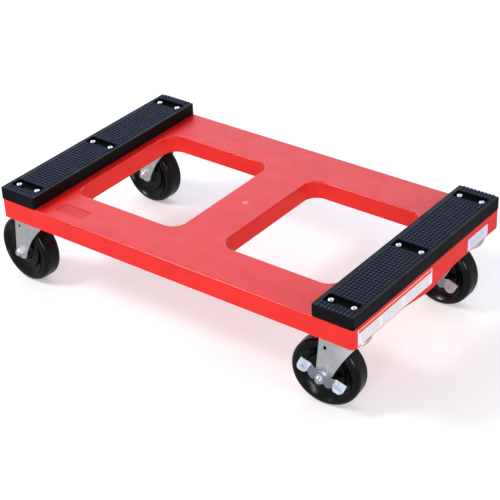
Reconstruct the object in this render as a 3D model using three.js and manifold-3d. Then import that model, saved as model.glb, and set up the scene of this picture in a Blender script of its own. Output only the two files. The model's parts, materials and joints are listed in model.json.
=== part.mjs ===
// Furniture dolly: a ribbed plastic deck with two hand openings, two rubber end pads and four
// swivel casters, the front two with see-saw brake levers.
// Millimetres, +Z up, floor at Z = 0. +X is the braked (front) end and +Y is left.
// The casters trail towards -X, so the deck's centre stands a little ahead of the origin, which is
// the centre of the whole dolly's footprint.
import * as THREE from "three";
import { mergeVertices } from "three/addons/utils/BufferGeometryUtils.js";
import Module from "manifold-3d";

// ---------------------------------------------------------------- driving dimensions
const GAP = 0.3; // running and seating clearance between neighbouring pieces
const REACH = 1; // how far a cutting tool or a root goes past the face that it meets

const DECK_CENTRE_X = 31;
const DECK_LENGTH = 762;
const DECK_WIDTH = 454;
const DECK_TOP = 190.8;
const SKIRT_DEPTH = 36.8;
const END_BELLY_DEPTH = 46.5; // how far the end skirts dip at mid-width
const END_BELLY_HALF_WIDTH = 95;
const SKIN = 5;
const WALL = 4;
const RIB = 3;
const RIB_DEPTH = 28;
const CROSS_RIB_DEPTH = 26;
const BOSS_DEPTH = 24;
const CORNER_RADIUS = 6;
const EDGE_ROUND = 2;

const OPENING_INNER_X = 47.5;
const OPENING_OUTER_X = 283.5;
const OPENING_HALF_WIDTH = 137;
const OPENING_RADIUS = 27;
const OPENING_WALL_DEPTH = 34;
const OPENING_SEGMENTS = 3;
const SEAT_POST = 15; // side of the square posts that the caster bolts go through

const RIB_LINES_Y = [161, 190];
const RIB_PITCH_X = 98;
const WEB_RIB_X = 30;
const WEB_RIB_Y = 70;

const PAD_LENGTH = 80;
const PAD_HEIGHT = 24.2;
const PAD_DRAFT = 1;
const PAD_CORNER = 3;
const PAD_CENTRE_X = DECK_LENGTH / 2 - PAD_LENGTH / 2; // from the deck's centre
const POCKET = { length: 63, width: 24, depth: 9, corner: 2, pitch: 197.5 };
const SCREW_SEAT = { radius: 6, height: 3.6 }; // the raised seat under each screw in a pocket
// Room under the pad for the heads of the caster bolts.
const PAD_RELIEF = { length: 62, width: 92, depth: 4.5, corner: 3 };
const SCREW_PITCH = 44; // between the two screws of a pocket
const SCREW = { headRadius: 5.3, headHeight: 3.4, rimHeight: 1.53, shankRadius: 2.6, length: 36, tip: 3 };
const SCREW_BOSS_RADIUS = 6.5;
const SCREW_HOLE_RADIUS = SCREW.shankRadius + 2 * GAP;

const SWIVEL_X = 341; // swivel axes, from the deck's centre
const SWIVEL_Y = 177.5;
const SWIVEL_LEAD = 38;
const WHEEL_RADIUS = 63.5;
const WHEEL_HALF_WIDTH = 19;

const PLATE = { length: 60, width: 88, thickness: 4, corner: 6 };
const PLATE_HOLES = { pitchX: 44, pitchY: 72, radius: 3.6 };
const PLATE_TOP = 154.1;
const RACE = { radius: 36, wall: 3, thickness: 2.6, bottom: 142.2, shoulder: 2 };
const BALL_RING = { inner: 23.5, outer: 30.5, halfFlat: 1.5 };
const CROWN = { top: 140.6, thickness: 3.6, radius: 34, edgeRadius: 2.5, edgeHeight: 2 };
const KINGPIN = { radius: 6.4, headRadius: 10.5, headHeight: 4.5, domeRadius: 7.35, recess: 0.6 };

const LEG = {
  inner: 22,
  thickness: 3,
  lobe: 14.5,
  lobeX: 1.5,
  topRear: -5,
  topFront: 66,
  frontCurve: [30, 28, 44, 54], // handles of the front edge's curve: x, z low down and x, z high up
};
const LEG_SLOT = { x: 5.5, z: 57, halfX: 2.4, halfZ: 3.2 };
const BOLT_RADIUS = 4.9;
const BOLT_END = 2; // how far the axle bolt shows past its nut
const HEX = { across: 15, headHeight: 6.2, nutHeight: 8 };
const BUSHING_RADIUS = 8.2;
const BEARING = { radius: 11.2, halfLength: 19.7 };
const TREAD = { shoulder: 9.5, steps: 3 };
// The wheel's side from its hub out to its web: radius and half thickness of each corner.
const HUB_SIDE = [
  [19, 20.5],
  [22, 12.5],
  [46, 11.5],
];

const LEVER = {
  thickness: 3,
  tilt: 20.7, // degrees: the rear pedal stands up and the front one down
  boss: 13.5,
  bossHeight: 6,
  bossChamfer: 3,
  pedalNear: 24,
  pedalFar: 45,
  pedalTop: 12,
  pedalLength: 20,
  pedalRound: 8,
  pedalBend: 35,
};
// The lever's wavy edges beside its middle line, which both edges mirror.
const LEVER_TOP = { middle: [0, 16.5], side: [[9, 14.5], [17, 9]] };
const LEVER_BOTTOM = { middle: [0, -14], side: [[8, -11.5], [15, -14.5], [24, -8]] };

const BOLT_SEGMENTS = 12;
const ROUND_SEGMENTS = 24;
const SMALL_SEGMENTS = 10;
const HOLE_SEGMENTS = 6;

const LABELS = {
  label_large: { y: -105, width: 220, height: 29, z: 170.8 },
  label_small: { y: 154.5, width: 67, height: 23.5, z: 168.2 },
};
const LABEL_THICKNESS = 0.4;
const LABEL_CORNER = 2;

// Casters: where each stands, how far it has turned on its swivel, and whether it has a brake.
const CASTERS = [
  { name: "front_left", x: SWIVEL_X, y: SWIVEL_Y, yaw: -1.3, braked: true },
  { name: "front_right", x: SWIVEL_X, y: -SWIVEL_Y, yaw: 6.5, braked: true },
  { name: "rear_left", x: -SWIVEL_X, y: SWIVEL_Y, yaw: -4.1, braked: false },
  { name: "rear_right", x: -SWIVEL_X, y: -SWIVEL_Y, yaw: -5.3, braked: false },
];

const material = (color, roughness, metalness = 0) =>
  new THREE.MeshStandardMaterial({ color, roughness, metalness });
const FINISH = {
  redPlastic: () => material(0xe8343a, 0.5),
  blackRubber: () => material(0x1c1c20, 0.7),
  zincSteel: () => material(0xb9bab5, 0.35, 1),
  screwSteel: () => material(0xd5d8dc, 0.25, 1),
  bearingSteel: () => material(0x9c9c9a, 0.3, 1),
  wheelBlack: () => material(0x0c0c0e, 0.3),
  labelWhite: () => material(0xe9e9ee, 0.5),
};

// ---------------------------------------------------------------- solids
const wasm = await Module();
wasm.setup();

/** A closed three.js geometry as a manifold solid, whichever way its faces wind. */
function solid(geometry) {
  const bare = new THREE.BufferGeometry();
  bare.setAttribute("position", geometry.getAttribute("position"));
  bare.setIndex(geometry.index);
  const merged = mergeVertices(bare, 1e-4);
  const build = (triVerts) =>
    new wasm.Manifold(
      new wasm.Mesh({ numProp: 3, vertProperties: merged.attributes.position.array, triVerts }),
    );
  const triVerts = new Uint32Array(merged.index.array);
  const made = build(triVerts);
  return made.volume() > 0 ? made : build(triVerts.reverse());
}

/** A named mesh from a manifold solid. */
function piece(name, shape, finish) {
  const { numProp, vertProperties, triVerts } = shape.getMesh();
  const positions = new Float32Array((vertProperties.length / numProp) * 3);
  for (let i = 0; i < positions.length / 3; i++)
    positions.set(vertProperties.subarray(i * numProp, i * numProp + 3), i * 3);
  const geometry = new THREE.BufferGeometry();
  geometry.setAttribute("position", new THREE.BufferAttribute(positions, 3));
  geometry.setIndex(new THREE.BufferAttribute(triVerts, 1));
  geometry.computeVertexNormals();
  const mesh = new THREE.Mesh(geometry, finish());
  mesh.name = name;
  return mesh;
}

const join = (shapes) => shapes.reduce((sum, next) => sum.add(next));
const cut = (shape, tools) => tools.reduce((left, tool) => left.subtract(tool), shape);

/** A rectangle centred on x, y with rounded corners. */
function roundedRectangle(length, width, radius, x = 0, y = 0) {
  const halfLength = length / 2 - radius;
  const halfWidth = width / 2 - radius;
  const shape = new THREE.Shape();
  shape.absarc(x + halfLength, y + halfWidth, radius, 0, Math.PI / 2);
  shape.absarc(x - halfLength, y + halfWidth, radius, Math.PI / 2, Math.PI);
  shape.absarc(x - halfLength, y - halfWidth, radius, Math.PI, 1.5 * Math.PI);
  shape.absarc(x + halfLength, y - halfWidth, radius, 1.5 * Math.PI, 2 * Math.PI);
  shape.closePath();
  return shape;
}

/** A shape in the XY plane, standing from z0 to z1. */
function prism(shape, z0, z1, curveSegments = 1) {
  const depth = z1 - z0;
  const geometry = new THREE.ExtrudeGeometry(shape, { depth, curveSegments, bevelEnabled: false });
  return solid(geometry.translate(0, 0, z0));
}

/** A prism whose two flat faces are the shape, and whose middle is wider all round by bevel. */
function bevelledPrism(shape, z0, z1, bevel, curveSegments = 1) {
  const geometry = new THREE.ExtrudeGeometry(shape, {
    depth: z1 - z0 - 2 * bevel,
    curveSegments,
    bevelThickness: bevel,
    bevelSize: bevel,
    bevelSegments: 2,
  });
  return solid(geometry.translate(0, 0, z0 + bevel));
}

/** A shape drawn in the XZ plane, as a plate from y0 to y1. */
function plateXZ(shape, y0, y1, curveSegments = 6) {
  const geometry = new THREE.ExtrudeGeometry(shape, {
    depth: y1 - y0,
    curveSegments,
    bevelEnabled: false,
  });
  return solid(geometry.rotateX(Math.PI / 2).translate(0, y1, 0));
}

/** A shape drawn in the YZ plane, as a plate from x0 to x1. */
function plateYZ(shape, x0, x1, curveSegments = 8) {
  const geometry = new THREE.ExtrudeGeometry(shape, {
    depth: x1 - x0,
    curveSegments,
    bevelEnabled: false,
  });
  return solid(geometry.rotateX(Math.PI / 2).rotateZ(Math.PI / 2).translate(x0, 0, 0));
}

function box(x0, x1, y0, y1, z0, z1) {
  const geometry = new THREE.BoxGeometry(x1 - x0, y1 - y0, z1 - z0);
  return solid(geometry.translate((x0 + x1) / 2, (y0 + y1) / 2, (z0 + z1) / 2));
}

/** A profile of [radius, height] points turned about Z. It starts and ends on the axis or closes. */
function turned(profile, segments) {
  const points = profile.map(([radius, height]) => new THREE.Vector2(radius, height));
  if (profile[0][0] > 0) points.push(points[0].clone());
  return solid(new THREE.LatheGeometry(points, segments).rotateX(Math.PI / 2));
}

const rod = (radius, z0, z1, segments) =>
  turned([[0, z0], [radius, z0], [radius, z1], [0, z1]], segments);
const tube = (inner, outer, z0, z1, segments) =>
  turned([[inner, z0], [outer, z0], [outer, z1], [inner, z1]], segments);

/** A hexagonal prism, across is its width over the flats. */
const hexagon = (across, z0, z1) => rod(across / Math.sqrt(3), z0, z1, 6);

/** Turns a solid made along Z so that it lies along Y, its +Z end towards -Y. */
const alongY = (shape, x, z) => shape.rotate([90, 0, 0]).translate([x, 0, z]);

// ---------------------------------------------------------------- deck
/** Everything below the deck's lower edge, which dips at mid-width of the end skirts. */
function belowDeck() {
  const rim = DECK_TOP - SKIRT_DEPTH;
  const low = DECK_TOP - END_BELLY_DEPTH;
  const edge = END_BELLY_HALF_WIDTH;
  const shape = new THREE.Shape();
  shape.moveTo(-DECK_WIDTH, 0);
  shape.lineTo(-DECK_WIDTH, rim);
  shape.lineTo(-edge, rim);
  shape.bezierCurveTo(-edge / 2, rim, -edge / 2, low, 0, low);
  shape.bezierCurveTo(edge / 2, low, edge / 2, rim, edge, rim);
  shape.lineTo(DECK_WIDTH, rim);
  shape.lineTo(DECK_WIDTH, 0);
  shape.closePath();
  return plateYZ(shape, -DECK_LENGTH, DECK_LENGTH, 6);
}

function openingShape(side, grow = 0) {
  return roundedRectangle(
    OPENING_OUTER_X - OPENING_INNER_X + 2 * grow,
    2 * (OPENING_HALF_WIDTH + grow),
    OPENING_RADIUS + grow,
    (side * (OPENING_INNER_X + OPENING_OUTER_X)) / 2,
  );
}

/** Strengthening ribs under the skin, in the side rails, the middle web and the ends. */
function deckRibs() {
  const top = DECK_TOP - SKIN + REACH;
  const half = RIB / 2;
  const insideX = DECK_LENGTH / 2 - WALL / 2;
  const insideY = DECK_WIDTH / 2 - WALL / 2;
  const seatEdge = SWIVEL_X - PLATE.length / 2;
  const lengthwise = (y, x0, x1) => box(x0, x1, y - half, y + half, DECK_TOP - RIB_DEPTH, top);
  const crosswise = (x, y0, y1) => box(x - half, x + half, y0, y1, DECK_TOP - CROSS_RIB_DEPTH, top);
  const ribs = [];
  for (const side of [-1, 1]) {
    for (const y of RIB_LINES_Y) ribs.push(lengthwise(side * y, -seatEdge, seatEdge));
    const railFrom = OPENING_HALF_WIDTH + WALL / 2;
    const railEnds = [side * railFrom, side * insideY].sort((a, b) => a - b);
    for (let k = -2; k <= 2; k++) ribs.push(crosswise(k * RIB_PITCH_X, ...railEnds));
    const endFrom = OPENING_OUTER_X + WALL / 2;
    const endEnds = [side * endFrom, side * insideX].sort((a, b) => a - b);
    for (const y of [-WEB_RIB_Y, 0, WEB_RIB_Y]) ribs.push(lengthwise(y, ...endEnds));
    ribs.push(crosswise(side * seatEdge, -insideY, insideY));
    ribs.push(crosswise(side * WEB_RIB_X, -OPENING_HALF_WIDTH, OPENING_HALF_WIDTH));
  }
  for (const y of [-WEB_RIB_Y, 0, WEB_RIB_Y])
    ribs.push(lengthwise(y, WALL / 2 - OPENING_INNER_X, OPENING_INNER_X - WALL / 2));
  return ribs;
}

const around = (centre, size) => [centre - size / 2, centre + size / 2];

/** The boxed seat that a caster's top plate bolts to: a wall round four bolt posts. */
function casterSeat(x, y) {
  const z0 = PLATE_TOP + GAP;
  const z1 = DECK_TOP - SKIN + REACH;
  const dx = PLATE_HOLES.pitchX / 2;
  const dy = PLATE_HOLES.pitchY / 2;
  const walls = [-1, 1].flatMap((side) => [
    box(x - dx, x + dx, ...around(y + side * dy, RIB), z0, z1),
    box(...around(x + side * dx, RIB), y - dy, y + dy, z0, z1),
  ]);
  const posts = plateHolePlaces(x, y).map(([postX, postY]) =>
    box(...around(postX, SEAT_POST), ...around(postY, SEAT_POST), z0, z1),
  );
  return join([...walls, ...posts]);
}

/** Where the four bolts of a caster plate centred on x, y stand. */
const plateHolePlaces = (x, y) =>
  [-1, 1].flatMap((i) =>
    [-1, 1].map((j) => [x + (i * PLATE_HOLES.pitchX) / 2, y + (j * PLATE_HOLES.pitchY) / 2]),
  );

const plateHoles = (x, y, z0, z1) =>
  plateHolePlaces(x, y).map(([holeX, holeY]) =>
    rod(PLATE_HOLES.radius, z0, z1, HOLE_SEGMENTS).translate([holeX, holeY, 0]),
  );

const screwPlaces = () =>
  [-1, 1].flatMap((end) =>
    [-1, 0, 1].flatMap((row) =>
      [-1, 1].map((side) => [end * PAD_CENTRE_X + (side * SCREW_PITCH) / 2, row * POCKET.pitch]),
    ),
  );

/** The walls that line both hand openings, and the tools that cut the openings through. */
function openingWork() {
  const wallLow = DECK_TOP - OPENING_WALL_DEPTH;
  const clear = 2 * END_BELLY_DEPTH;
  const walls = [-1, 1].map((side) =>
    prism(openingShape(side, WALL), wallLow, DECK_TOP - REACH, OPENING_SEGMENTS),
  );
  const tools = [-1, 1].flatMap((side) => {
    const shape = openingShape(side);
    return [
      prism(shape, DECK_TOP - clear, DECK_TOP + REACH, OPENING_SEGMENTS),
      bevelledPrism(shape, DECK_TOP - EDGE_ROUND, DECK_TOP + clear, EDGE_ROUND, OPENING_SEGMENTS),
    ];
  });
  return { walls, tools };
}

function deck() {
  const outline = roundedRectangle(
    DECK_LENGTH - 2 * EDGE_ROUND,
    DECK_WIDTH - 2 * EDGE_ROUND,
    CORNER_RADIUS - EDGE_ROUND,
  );
  const low = DECK_TOP - END_BELLY_DEPTH;
  const block = bevelledPrism(outline, low - 2 * EDGE_ROUND, DECK_TOP, EDGE_ROUND);
  const cavity = prism(
    roundedRectangle(DECK_LENGTH - 2 * WALL, DECK_WIDTH - 2 * WALL, CORNER_RADIUS - WALL / 2),
    low - 3 * EDGE_ROUND,
    DECK_TOP - SKIN,
  );
  const { walls, tools } = openingWork();
  const bosses = screwPlaces().map(([x, y]) =>
    rod(SCREW_BOSS_RADIUS, DECK_TOP - BOSS_DEPTH, DECK_TOP - REACH, HOLE_SEGMENTS).translate([x, y, 0]),
  );
  const screwHoles = screwPlaces().map(([x, y]) =>
    rod(SCREW_HOLE_RADIUS, DECK_TOP - RIB_DEPTH, DECK_TOP + REACH, HOLE_SEGMENTS).translate([x, y, 0]),
  );
  const seats = CASTERS.map(({ x, y }) => casterSeat(x, y));
  const boltHoles = CASTERS.flatMap(({ x, y }) => plateHoles(x, y, PLATE_TOP, DECK_TOP + REACH));
  const shell = cut(block, [belowDeck(), cavity]);
  const filled = join([shell, ...walls, ...deckRibs(), ...bosses, ...seats]);
  return cut(filled, [...tools, ...screwHoles, ...boltHoles]);
}

// ---------------------------------------------------------------- end pads
function endPad(end) {
  const centre = end * PAD_CENTRE_X;
  const bottom = DECK_TOP + GAP;
  const top = DECK_TOP + PAD_HEIGHT;
  const outline = roundedRectangle(
    PAD_LENGTH - 2 * PAD_DRAFT,
    DECK_WIDTH - 2 * PAD_DRAFT,
    PAD_CORNER - PAD_DRAFT,
    centre,
  );
  const body = bevelledPrism(outline, bottom - PAD_DRAFT, top, PAD_DRAFT);
  const tools = [box(-DECK_LENGTH, DECK_LENGTH, -DECK_WIDTH, DECK_WIDTH, 0, bottom)];
  for (const row of [-1, 0, 1]) {
    const { length, width, corner, depth, pitch } = POCKET;
    const pocket = roundedRectangle(length, width, corner, centre, row * pitch);
    tools.push(prism(pocket, top - depth, top + REACH));
  }
  const floor = top - POCKET.depth;
  const places = screwPlaces().filter(([x]) => Math.sign(x) === end);
  const seats = places.map(([x, y]) =>
    rod(SCREW_SEAT.radius, floor - REACH, floor + SCREW_SEAT.height, SMALL_SEGMENTS).translate([x, y, 0]),
  );
  const holes = places.map(([x, y]) =>
    rod(SCREW_HOLE_RADIUS, bottom - REACH, top, HOLE_SEGMENTS).translate([x, y, 0]),
  );
  for (const side of [-1, 1]) {
    const { length, width, corner, depth } = PAD_RELIEF;
    const relief = roundedRectangle(length, width, corner, centre, side * SWIVEL_Y);
    tools.push(prism(relief, bottom - REACH, bottom + depth));
  }
  return cut(join([cut(body, tools), ...seats]), holes);
}

/** A button-head screw standing on Z = 0, its shank below. */
function padScrew() {
  const { headRadius, headHeight, rimHeight, shankRadius, length, tip } = SCREW;
  return turned(
    [
      [0, -length],
      [shankRadius, tip - length],
      [shankRadius, 0],
      [headRadius, 0],
      [headRadius, rimHeight],
      [0, headHeight],
    ],
    SMALL_SEGMENTS,
  );
}

// ---------------------------------------------------------------- caster pieces
// Each is made about its own swivel axis, with the wheel trailing towards -X.
const AXLE_X = -SWIVEL_LEAD;
const AXLE_Z = WHEEL_RADIUS;
const PLATE_BOTTOM = PLATE_TOP - PLATE.thickness;
const LEG_OUTER = LEG.inner + LEG.thickness;
const CROWN_BOTTOM = CROWN.top - CROWN.thickness;

function topPlate() {
  const outline = roundedRectangle(PLATE.length, PLATE.width, PLATE.corner);
  const [low, high] = [PLATE_BOTTOM - REACH, PLATE_TOP + REACH];
  const kingpinHole = rod(KINGPIN.radius + 2 * GAP, low, high, SMALL_SEGMENTS);
  return cut(prism(outline, PLATE_BOTTOM, PLATE_TOP), [kingpinHole, ...plateHoles(0, 0, low, high)]);
}

/** The pressed cup under the plate that holds and covers the swivel balls. */
function raceway() {
  const top = PLATE_BOTTOM - GAP;
  const { radius, wall, thickness, bottom, shoulder } = RACE;
  const bore = KINGPIN.radius + 2 * GAP;
  return turned(
    [
      [bore, top - thickness],
      [radius - wall, top - thickness],
      [radius - wall, bottom],
      [radius, bottom],
      [radius, top - shoulder],
      [radius - shoulder, top],
      [bore, top],
    ],
    ROUND_SEGMENTS,
  );
}

/** The ring of swivel balls in its cage. */
function ballRing() {
  const low = CROWN.top + GAP;
  const high = PLATE_BOTTOM - RACE.thickness - 2 * GAP;
  const { inner, outer, halfFlat } = BALL_RING;
  const middle = (inner + outer) / 2;
  return turned(
    [
      [inner, (low + high) / 2],
      [middle - halfFlat, low],
      [middle + halfFlat, low],
      [outer, (low + high) / 2],
      [middle + halfFlat, high],
      [middle - halfFlat, high],
    ],
    BOLT_SEGMENTS,
  );
}

/** The rivet that ties the plate, the raceway and the fork's crown together. */
function kingpin() {
  const { radius, headRadius, headHeight, domeRadius, recess } = KINGPIN;
  const shoulder = CROWN_BOTTOM - GAP;
  const end = PLATE_TOP - recess;
  return turned(
    [
      [0, shoulder - headHeight],
      [domeRadius, shoulder - headHeight],
      [headRadius, shoulder - headHeight / 2],
      [headRadius, shoulder],
      [radius, shoulder],
      [radius, end],
      [0, end],
    ],
    SMALL_SEGMENTS,
  );
}

/** A fork leg's outline in the XZ plane, about the axle. */
function legShape() {
  const top = CROWN_BOTTOM - AXLE_Z + REACH;
  const shape = new THREE.Shape();
  shape.absarc(LEG.lobeX, 0, LEG.lobe, Math.PI, 2 * Math.PI);
  shape.bezierCurveTo(...LEG.frontCurve, LEG.topFront, top);
  shape.lineTo(LEG.topRear, top);
  shape.closePath();
  const hole = new THREE.Path();
  const { x, z, halfX, halfZ } = LEG_SLOT;
  hole.moveTo(x - halfX, z - halfZ);
  hole.lineTo(x - halfX, z + halfZ);
  hole.lineTo(x + halfX, z + halfZ);
  hole.lineTo(x + halfX, z - halfZ);
  hole.closePath();
  shape.holes.push(hole);
  return shape;
}

function fork() {
  const rear = AXLE_X + LEG.topRear;
  const front = AXLE_X + LEG.topFront;
  const disc = turned(
    [
      [0, CROWN_BOTTOM],
      [CROWN.radius - CROWN.edgeRadius, CROWN_BOTTOM],
      [CROWN.radius, CROWN_BOTTOM + CROWN.edgeHeight],
      [CROWN.radius, CROWN.top],
      [0, CROWN.top],
    ],
    ROUND_SEGMENTS,
  );
  const bridge = box(rear, front, -LEG_OUTER, LEG_OUTER, CROWN_BOTTOM, CROWN.top);
  const legs = [-LEG_OUTER, LEG.inner].map((y) =>
    plateXZ(legShape(), y, y + LEG.thickness).translate([AXLE_X, 0, AXLE_Z]),
  );
  const [low, high] = [CROWN_BOTTOM - REACH, CROWN.top + REACH];
  const kingpinHole = rod(KINGPIN.radius + 2 * GAP, low, high, SMALL_SEGMENTS);
  const across = LEG_OUTER + REACH;
  const axleHole = rod(BOLT_RADIUS + GAP, -across, across, BOLT_SEGMENTS);
  return cut(join([disc, bridge, ...legs]), [kingpinHole, alongY(axleHole, AXLE_X, AXLE_Z)]);
}

/** The outermost face on the nut's side: the fork leg, or the brake lever's boss over it. */
const seatOfNut = (braked) => LEG_OUTER + GAP + (braked ? LEVER.bossHeight + GAP : 0);

function axleBolt(braked) {
  const seat = -seatOfNut(false);
  const end = seatOfNut(braked) + HEX.nutHeight + BOLT_END;
  const head = hexagon(HEX.across, seat - HEX.headHeight, seat);
  return alongY(head.add(rod(BOLT_RADIUS, seat - REACH, end, BOLT_SEGMENTS)), AXLE_X, AXLE_Z);
}

function axleNut(braked) {
  const seat = seatOfNut(braked);
  const end = seat + HEX.nutHeight;
  const bore = rod(BOLT_RADIUS + GAP, seat - REACH, end + REACH, BOLT_SEGMENTS);
  return alongY(hexagon(HEX.across, seat, end).subtract(bore), AXLE_X, AXLE_Z);
}

/** A tube on the axle, halfLength to each side of the wheel's middle. */
const axleTube = (inner, outer, halfLength) =>
  alongY(tube(inner, outer, -halfLength, halfLength, BOLT_SEGMENTS), AXLE_X, AXLE_Z);

const axleBushing = () => axleTube(BOLT_RADIUS + GAP, BUSHING_RADIUS, LEG.inner - GAP);
const rollerBearing = () => axleTube(BUSHING_RADIUS + GAP, BEARING.radius, BEARING.halfLength);

/** A moulded wheel: a round-shouldered tread, a dished web and a hub. */
function wheel() {
  const { shoulder, steps } = TREAD;
  const tread = [];
  for (let k = 0; k <= steps; k++) {
    const angle = (k / steps) * (Math.PI / 2);
    tread.push([
      WHEEL_RADIUS - shoulder + shoulder * Math.sin(angle),
      WHEEL_HALF_WIDTH - shoulder + shoulder * Math.cos(angle),
    ]);
  }
  const [[, hubHalf]] = HUB_SIDE;
  const half = [[BEARING.radius + GAP, hubHalf], ...HUB_SIDE, ...tread];
  const lower = half.map(([radius, y]) => [radius, -y]);
  return alongY(turned([...lower, ...half.reverse()], ROUND_SEGMENTS), AXLE_X, AXLE_Z);
}

/** The points of a mirrored edge from its +X end to its -X end, as points of a spline. */
function mirroredEdge({ middle, side }) {
  const ahead = [...side].reverse();
  const behind = side.map(([p, q]) => [-p, q]);
  return [...ahead, middle, ...behind].map(([p, q]) => new THREE.Vector2(p, q));
}

/** The lever's flat bar about the axle, level: a boss in the middle and a wing to each side. */
function leverShape() {
  const { pedalNear, pedalFar, pedalTop } = LEVER;
  const endLow = pedalTop - 4;
  const wing = pedalNear + 6;
  const wingLow = pedalTop - 5;
  const shape = new THREE.Shape();
  shape.moveTo(-pedalFar, endLow);
  shape.lineTo(-pedalFar, pedalTop);
  shape.lineTo(-pedalNear, pedalTop);
  shape.splineThru([...mirroredEdge(LEVER_TOP).reverse(), new THREE.Vector2(pedalNear, pedalTop)]);
  shape.lineTo(pedalFar, pedalTop);
  shape.lineTo(pedalFar, endLow);
  shape.lineTo(wing, wingLow);
  shape.splineThru([...mirroredEdge(LEVER_BOTTOM), new THREE.Vector2(-wing, wingLow)]);
  shape.closePath();
  return shape;
}

/** A pedal plate hanging from the bar's top edge and bent outwards, with a round free end. */
function leverPedal(side) {
  const { pedalNear, pedalFar, pedalTop, pedalLength, pedalRound: round, pedalBend } = LEVER;
  const width = pedalFar - pedalNear;
  const outline = new THREE.Shape();
  outline.moveTo(-width / 2, 0);
  outline.lineTo(width / 2, 0);
  outline.absarc(width / 2 - round, -pedalLength + round, round, 0, -Math.PI / 2, true);
  outline.absarc(-width / 2 + round, -pedalLength + round, round, -Math.PI / 2, -Math.PI, true);
  outline.closePath();
  return plateXZ(outline, -LEVER.thickness, 0, 2)
    .rotate([-pedalBend, 0, 0])
    .translate([(side * (pedalNear + pedalFar)) / 2, -LEG_OUTER - GAP, pedalTop]);
}

function brakeLever() {
  const inside = LEG_OUTER + GAP;
  const outside = inside + LEVER.bossHeight;
  const bar = plateXZ(leverShape(), -inside - LEVER.thickness, -inside, 2);
  const boss = turned(
    [
      [0, inside],
      [LEVER.boss, inside],
      [LEVER.boss, inside + LEVER.thickness],
      [LEVER.boss - LEVER.bossChamfer, outside],
      [0, outside],
    ],
    BOLT_SEGMENTS,
  ).rotate([90, 0, 0]);
  const hole = rod(BOLT_RADIUS + GAP, inside - REACH, outside + REACH, BOLT_SEGMENTS).rotate([90, 0, 0]);
  const level = join([bar, boss, leverPedal(-1), leverPedal(1)]).subtract(hole);
  return level.rotate([0, LEVER.tilt, 0]).translate([AXLE_X, 0, AXLE_Z]);
}

// ---------------------------------------------------------------- assembly
/** One caster: what is bolted to the deck stands square, and what swivels is turned by its yaw. */
function caster({ name, x, y, yaw, braked }) {
  const fixed = new THREE.Group();
  fixed.position.set(x, y, 0);
  fixed.add(
    piece(`top_plate_${name}`, topPlate(), FINISH.zincSteel),
    piece(`raceway_${name}`, raceway(), FINISH.zincSteel),
    piece(`kingpin_${name}`, kingpin(), FINISH.zincSteel),
  );
  const turning = new THREE.Group();
  turning.position.set(x, y, 0);
  turning.rotation.z = THREE.MathUtils.degToRad(yaw);
  turning.add(
    piece(`ball_ring_${name}`, ballRing(), FINISH.bearingSteel),
    piece(`fork_${name}`, fork(), FINISH.zincSteel),
    piece(`axle_bolt_${name}`, axleBolt(braked), FINISH.screwSteel),
    piece(`axle_nut_${name}`, axleNut(braked), FINISH.screwSteel),
    piece(`axle_bushing_${name}`, axleBushing(), FINISH.bearingSteel),
    piece(`roller_bearing_${name}`, rollerBearing(), FINISH.bearingSteel),
    piece(`wheel_${name}`, wheel(), FINISH.wheelBlack),
  );
  if (braked) turning.add(piece(`brake_lever_${name}`, brakeLever(), FINISH.zincSteel));
  return [fixed, turning];
}

function pads() {
  const meshes = [
    piece("end_pad_front", endPad(1), FINISH.blackRubber),
    piece("end_pad_rear", endPad(-1), FINISH.blackRubber),
  ];
  const seat = DECK_TOP + PAD_HEIGHT - POCKET.depth + SCREW_SEAT.height + GAP;
  screwPlaces().forEach(([x, y], k) => {
    const number = String(k + 1).padStart(2, "0");
    const screw = piece(`pad_screw_${number}`, padScrew(), FINISH.screwSteel);
    screw.position.set(x, y, seat);
    meshes.push(screw);
  });
  return meshes;
}

function labels() {
  const face = DECK_LENGTH / 2 + GAP;
  return Object.entries(LABELS).map(([name, { y, width, height, z }]) => {
    const outline = roundedRectangle(width, height, LABEL_CORNER, y, z);
    return piece(name, plateYZ(outline, face, face + LABEL_THICKNESS, 1), FINISH.labelWhite);
  });
}

const dolly = new THREE.Group();
const body = new THREE.Group();
body.position.x = DECK_CENTRE_X;
body.add(piece("deck", deck(), FINISH.redPlastic));
body.add(...pads(), ...labels(), ...CASTERS.flatMap(caster));
dolly.add(body);

export default dolly;
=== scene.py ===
"""Furniture dolly: the finished look of every piece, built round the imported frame.

A moulded polyethylene deck with two hand openings carries two rubber end pads and four swivel
casters. The front two casters have see-saw brake levers. Sizes in the classes are millimetres;
they turn into metres when a piece is placed. Places come from the frame's nodes and joints.
"""

import functools
import json
import logging
import math
import random
from dataclasses import dataclass, field
from enum import Enum
from typing import Any, Callable, Iterable, Sequence

import bmesh
import bpy
from mathutils import Matrix, Vector


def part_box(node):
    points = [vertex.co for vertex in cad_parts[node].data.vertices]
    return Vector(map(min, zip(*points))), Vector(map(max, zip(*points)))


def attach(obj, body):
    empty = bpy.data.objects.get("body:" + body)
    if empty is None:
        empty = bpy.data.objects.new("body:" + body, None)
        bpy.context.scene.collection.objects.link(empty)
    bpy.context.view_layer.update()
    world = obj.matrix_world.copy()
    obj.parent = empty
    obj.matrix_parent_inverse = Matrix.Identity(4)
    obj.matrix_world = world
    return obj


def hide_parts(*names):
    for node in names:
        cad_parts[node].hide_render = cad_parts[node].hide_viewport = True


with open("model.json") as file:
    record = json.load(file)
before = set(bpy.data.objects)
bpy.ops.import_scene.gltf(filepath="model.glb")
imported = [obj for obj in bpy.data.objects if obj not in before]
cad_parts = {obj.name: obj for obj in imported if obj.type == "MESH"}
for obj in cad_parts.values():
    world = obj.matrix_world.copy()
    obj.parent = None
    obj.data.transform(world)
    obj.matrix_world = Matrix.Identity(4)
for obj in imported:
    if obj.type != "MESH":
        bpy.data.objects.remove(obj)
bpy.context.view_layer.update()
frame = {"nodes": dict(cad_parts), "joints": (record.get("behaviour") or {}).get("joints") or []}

MM = 0.001
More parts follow.
